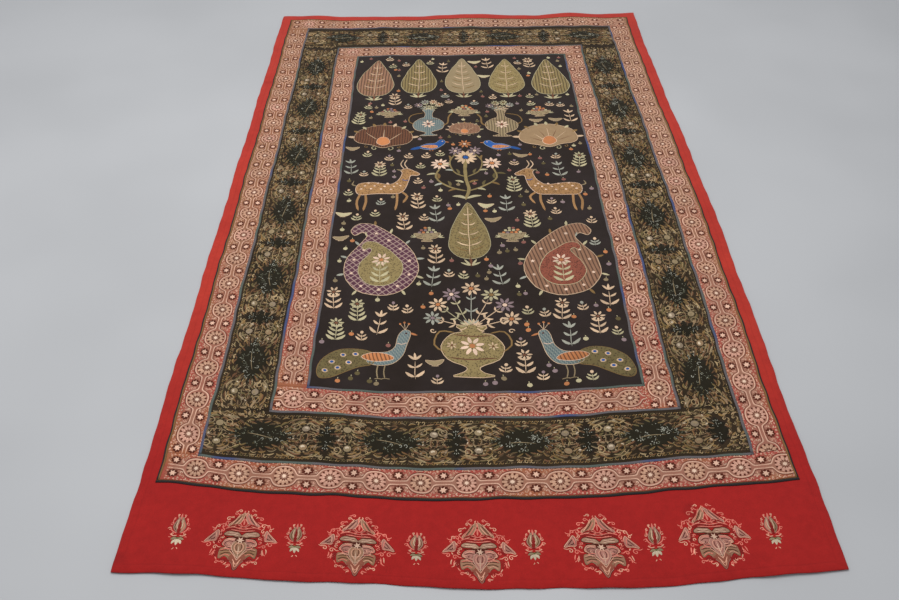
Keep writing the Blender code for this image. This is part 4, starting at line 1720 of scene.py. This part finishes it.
def stitch_narrow_band(name, ring, side, run):
    """The rosettes, vines and starred seeds of one narrow band."""
    where, turn, (low, high) = band_axis(ring, side)
    stitching = new_stitching()
    for k in range(run.count):
        sew(stitching, choose.choice(rosettes), *where(run.first + k * run.pitch), turn,
            (run.pitch / NARROW_PITCH, 1.0))
    necked = [run.first + (k - 0.5) * run.pitch for k in range(run.count + 1)]
    for place in necked:
        if low - NECK_OVERRUN < place < high + NECK_OVERRUN:
            place = min(max(place, low + NECK_ROOM), high - NECK_ROOM)
            sew(stitching, choose.choice(necks), *where(place), turn)
    for start, end in ((low + STUB_MARGIN, necked[0]), (necked[-1], high - STUB_MARGIN)):
        if end - start > NECK_OVERRUN:
            sew(stitching, stub, *where((start + end) / 2), turn, ((end - start) / STUB_LENGTH, 1.0))
    trim_ends(stitching, side, low, high)
    return lay_piece(name, stitching, PANEL_TOP, [FINISHES[THREAD]], "silk_thread")


def stitch_wide_band(name, ring, side, run):
    """The cartouches, blooms and edge scrolls of one wide band."""
    where, turn, (low, high) = band_axis(ring, side)
    stitching = new_stitching()
    for k in range(run.count):
        place = run.first + k * run.pitch
        sew(stitching, choose.choice(wides), *where(place), turn, (run.pitch / WIDE_PITCH, 1.0))
        if place + run.pitch / 2 < high - LOZENGE_ROOM:
            sew(stitching, choose.choice(lozenges), *where(place + run.pitch / 2), turn)
    for start, end in ((low, run.first - 0.49 * run.pitch),
                       (run.first + (run.count - 0.5) * run.pitch + FILL_START, high)):
        for place in stations(start, end, FILL_PITCH)[:-1] if end - start > STUB_MARGIN else ():
            sew(stitching, fill, *where(place + FILL_PITCH / 2), turn)
    if side in ("bottom", "top"):
        inward = 1 if side == "bottom" else -1
        for place in (low + CORNER_FILL, high - CORNER_FILL):
            x, y = where(place)
            sew(stitching, fill, x, y + inward * ((ring.top - ring.bottom) / 2 - SEAM_FILL), turn + pi / 2)
    trim_ends(stitching, side, low, high)
    edging = Work(len(side))
    middle = (low + high) / 2
    edge_scrolls(edging, (low - middle) / MM + SCROLL_MARGIN, (high - middle) / MM - SCROLL_MARGIN,
                 SCROLL_PITCH)
    sew(stitching, edging.done("edge_scrolls"), *where(middle), turn)
    return lay_piece(name, stitching, PANEL_TOP, [FINISHES[THREAD], FINISHES[PLAIN]], "silk_thread")


for side in SIDES:
    for band, runs in (("outer", OUTER_RUNS), ("inner", INNER_RUNS)):
        node = f"{band}_border_{side}"
        stitch_narrow_band(f"{band}_vines_{side}", CUTS[node].ring, side, runs[side])
    node = f"wide_border_{side}"
    stitch_wide_band(f"wide_blooms_{side}", CUTS[node].ring, side, WIDE_RUNS[side])

# Stitching on the skirt and the field

MEDALLION_SPOTS = (Spot(-0.492, -1.219, 0.069, 0.115, 1.03), Spot(-0.247, -1.220, -0.092, -0.068, 1.02),
                   Spot(0.002, -1.222, -0.036, -0.055, 1.03), Spot(0.253, -1.213, -0.038, -0.126, 1.02),
                   Spot(0.487, -1.211, -0.069, -0.164, 1.02))
SPRAY_SPOTS = (Spot(-0.626, -1.212), Spot(-0.376, -1.212), Spot(-0.127, -1.221), Spot(0.116, -1.216),
               Spot(0.363, -1.212), Spot(0.613, -1.210))
skirt = new_stitching()
for spots, motif, seed in ((MEDALLION_SPOTS, medallion, 60), (SPRAY_SPOTS, skirt_spray, 70)):
    for k, spot in enumerate(spots):
        sew(skirt, motif(seed + k), spot.across, spot.along, spot.turn, (1.0, spot.height), spot.slant)
plant_garden()
lay_piece("skirt_sprays", skirt, GROUND_THICK, list(FINISHES.values()),
                                     "silk_thread")

# The model's parts that the pieces stand for are hidden.

for node, piece in {**cloths, **trims}.items():
    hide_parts(node)
for node, piece in cloths.items():
    for title, trim in trims.items():
        name, side = title.rsplit("_", 1)
    ring = CUTS[node].ring


# Camera, floor and light

CAMERA_PLACE = (-0.02314, -2.22597, 1.57593)
CAMERA_TURN = (0.8381884, 0.0121831, 0.0024377)
CAMERA_LENS = 34.92
CAMERA_FILM = 36.0
FLOOR_REACH = 14.0
FLOOR_DROP = 0.0004


def add_camera():
    """The camera at the photograph's place."""
    data = bpy.data.cameras.new("camera")
    data.lens = CAMERA_LENS
    data.sensor_width = CAMERA_FILM
    camera = bpy.data.objects.new("camera", data)
    camera.location = CAMERA_PLACE
    camera.rotation_euler = CAMERA_TURN
    bpy.context.scene.collection.objects.link(camera)
    bpy.context.scene.camera = camera


def add_floor():
    """A plain pale floor just under the cloth."""
    bm = bmesh.new()
    bmesh.ops.create_grid(bm, x_segments=1, y_segments=1, size=FLOOR_REACH)
    bmesh.ops.translate(bm, verts=bm.verts, vec=(0.0, 0.0, -FLOOR_DROP))
    mesh = bpy.data.meshes.new("floor")
    bm.to_mesh(mesh)
    bm.free()
    material, shading, shader = new_material("pale_floor")
    cloud = shading.ramp(shading.noise(1.5, 2.0), 0.3, 0.7)
    shading.feed(shader.inputs["Base Color"], shading.mix(cloud, FLOOR_GREY, FLOOR_PALE))
    shader.inputs["Roughness"].default_value = 0.5
    mesh.materials.append(material)
    floor = bpy.data.objects.new("floor", mesh)
    bpy.context.scene.collection.objects.link(floor)


def add_light(name, place, aim, size, power, colour=(1.0, 1.0, 1.0)):
    """A large soft studio light."""
    data = bpy.data.lights.new(name, "AREA")
    data.shape = "RECTANGLE"
    data.size, data.size_y = size
    data.energy = power
    data.color = colour
    light = bpy.data.objects.new(name, data)
    light.location = place
    light.rotation_euler = (Vector(aim) - Vector(place)).to_track_quat("-Z", "Y").to_euler()
    bpy.context.scene.collection.objects.link(light)


add_camera()
add_floor()
add_light("ceiling_light", (-0.32, 0.32, 3.3), (-0.05, 0.1, 0.0), (3.2, 2.4), 93.0, (1.0, 0.985, 0.965))
add_light("side_light", (-3.6, 1.6, 2.2), (0.0, 0.2, 0.0), (2.0, 1.6), 12.0)
world = bpy.data.worlds.new("room")
world.use_nodes = True
world.node_tree.nodes["Background"].inputs["Color"].default_value = (0.965, 0.975, 1.0, 1.0)
world.node_tree.nodes["Background"].inputs["Strength"].default_value = 0.55
bpy.context.scene.world = world
bpy.context.scene.view_settings.view_transform = "Standard"
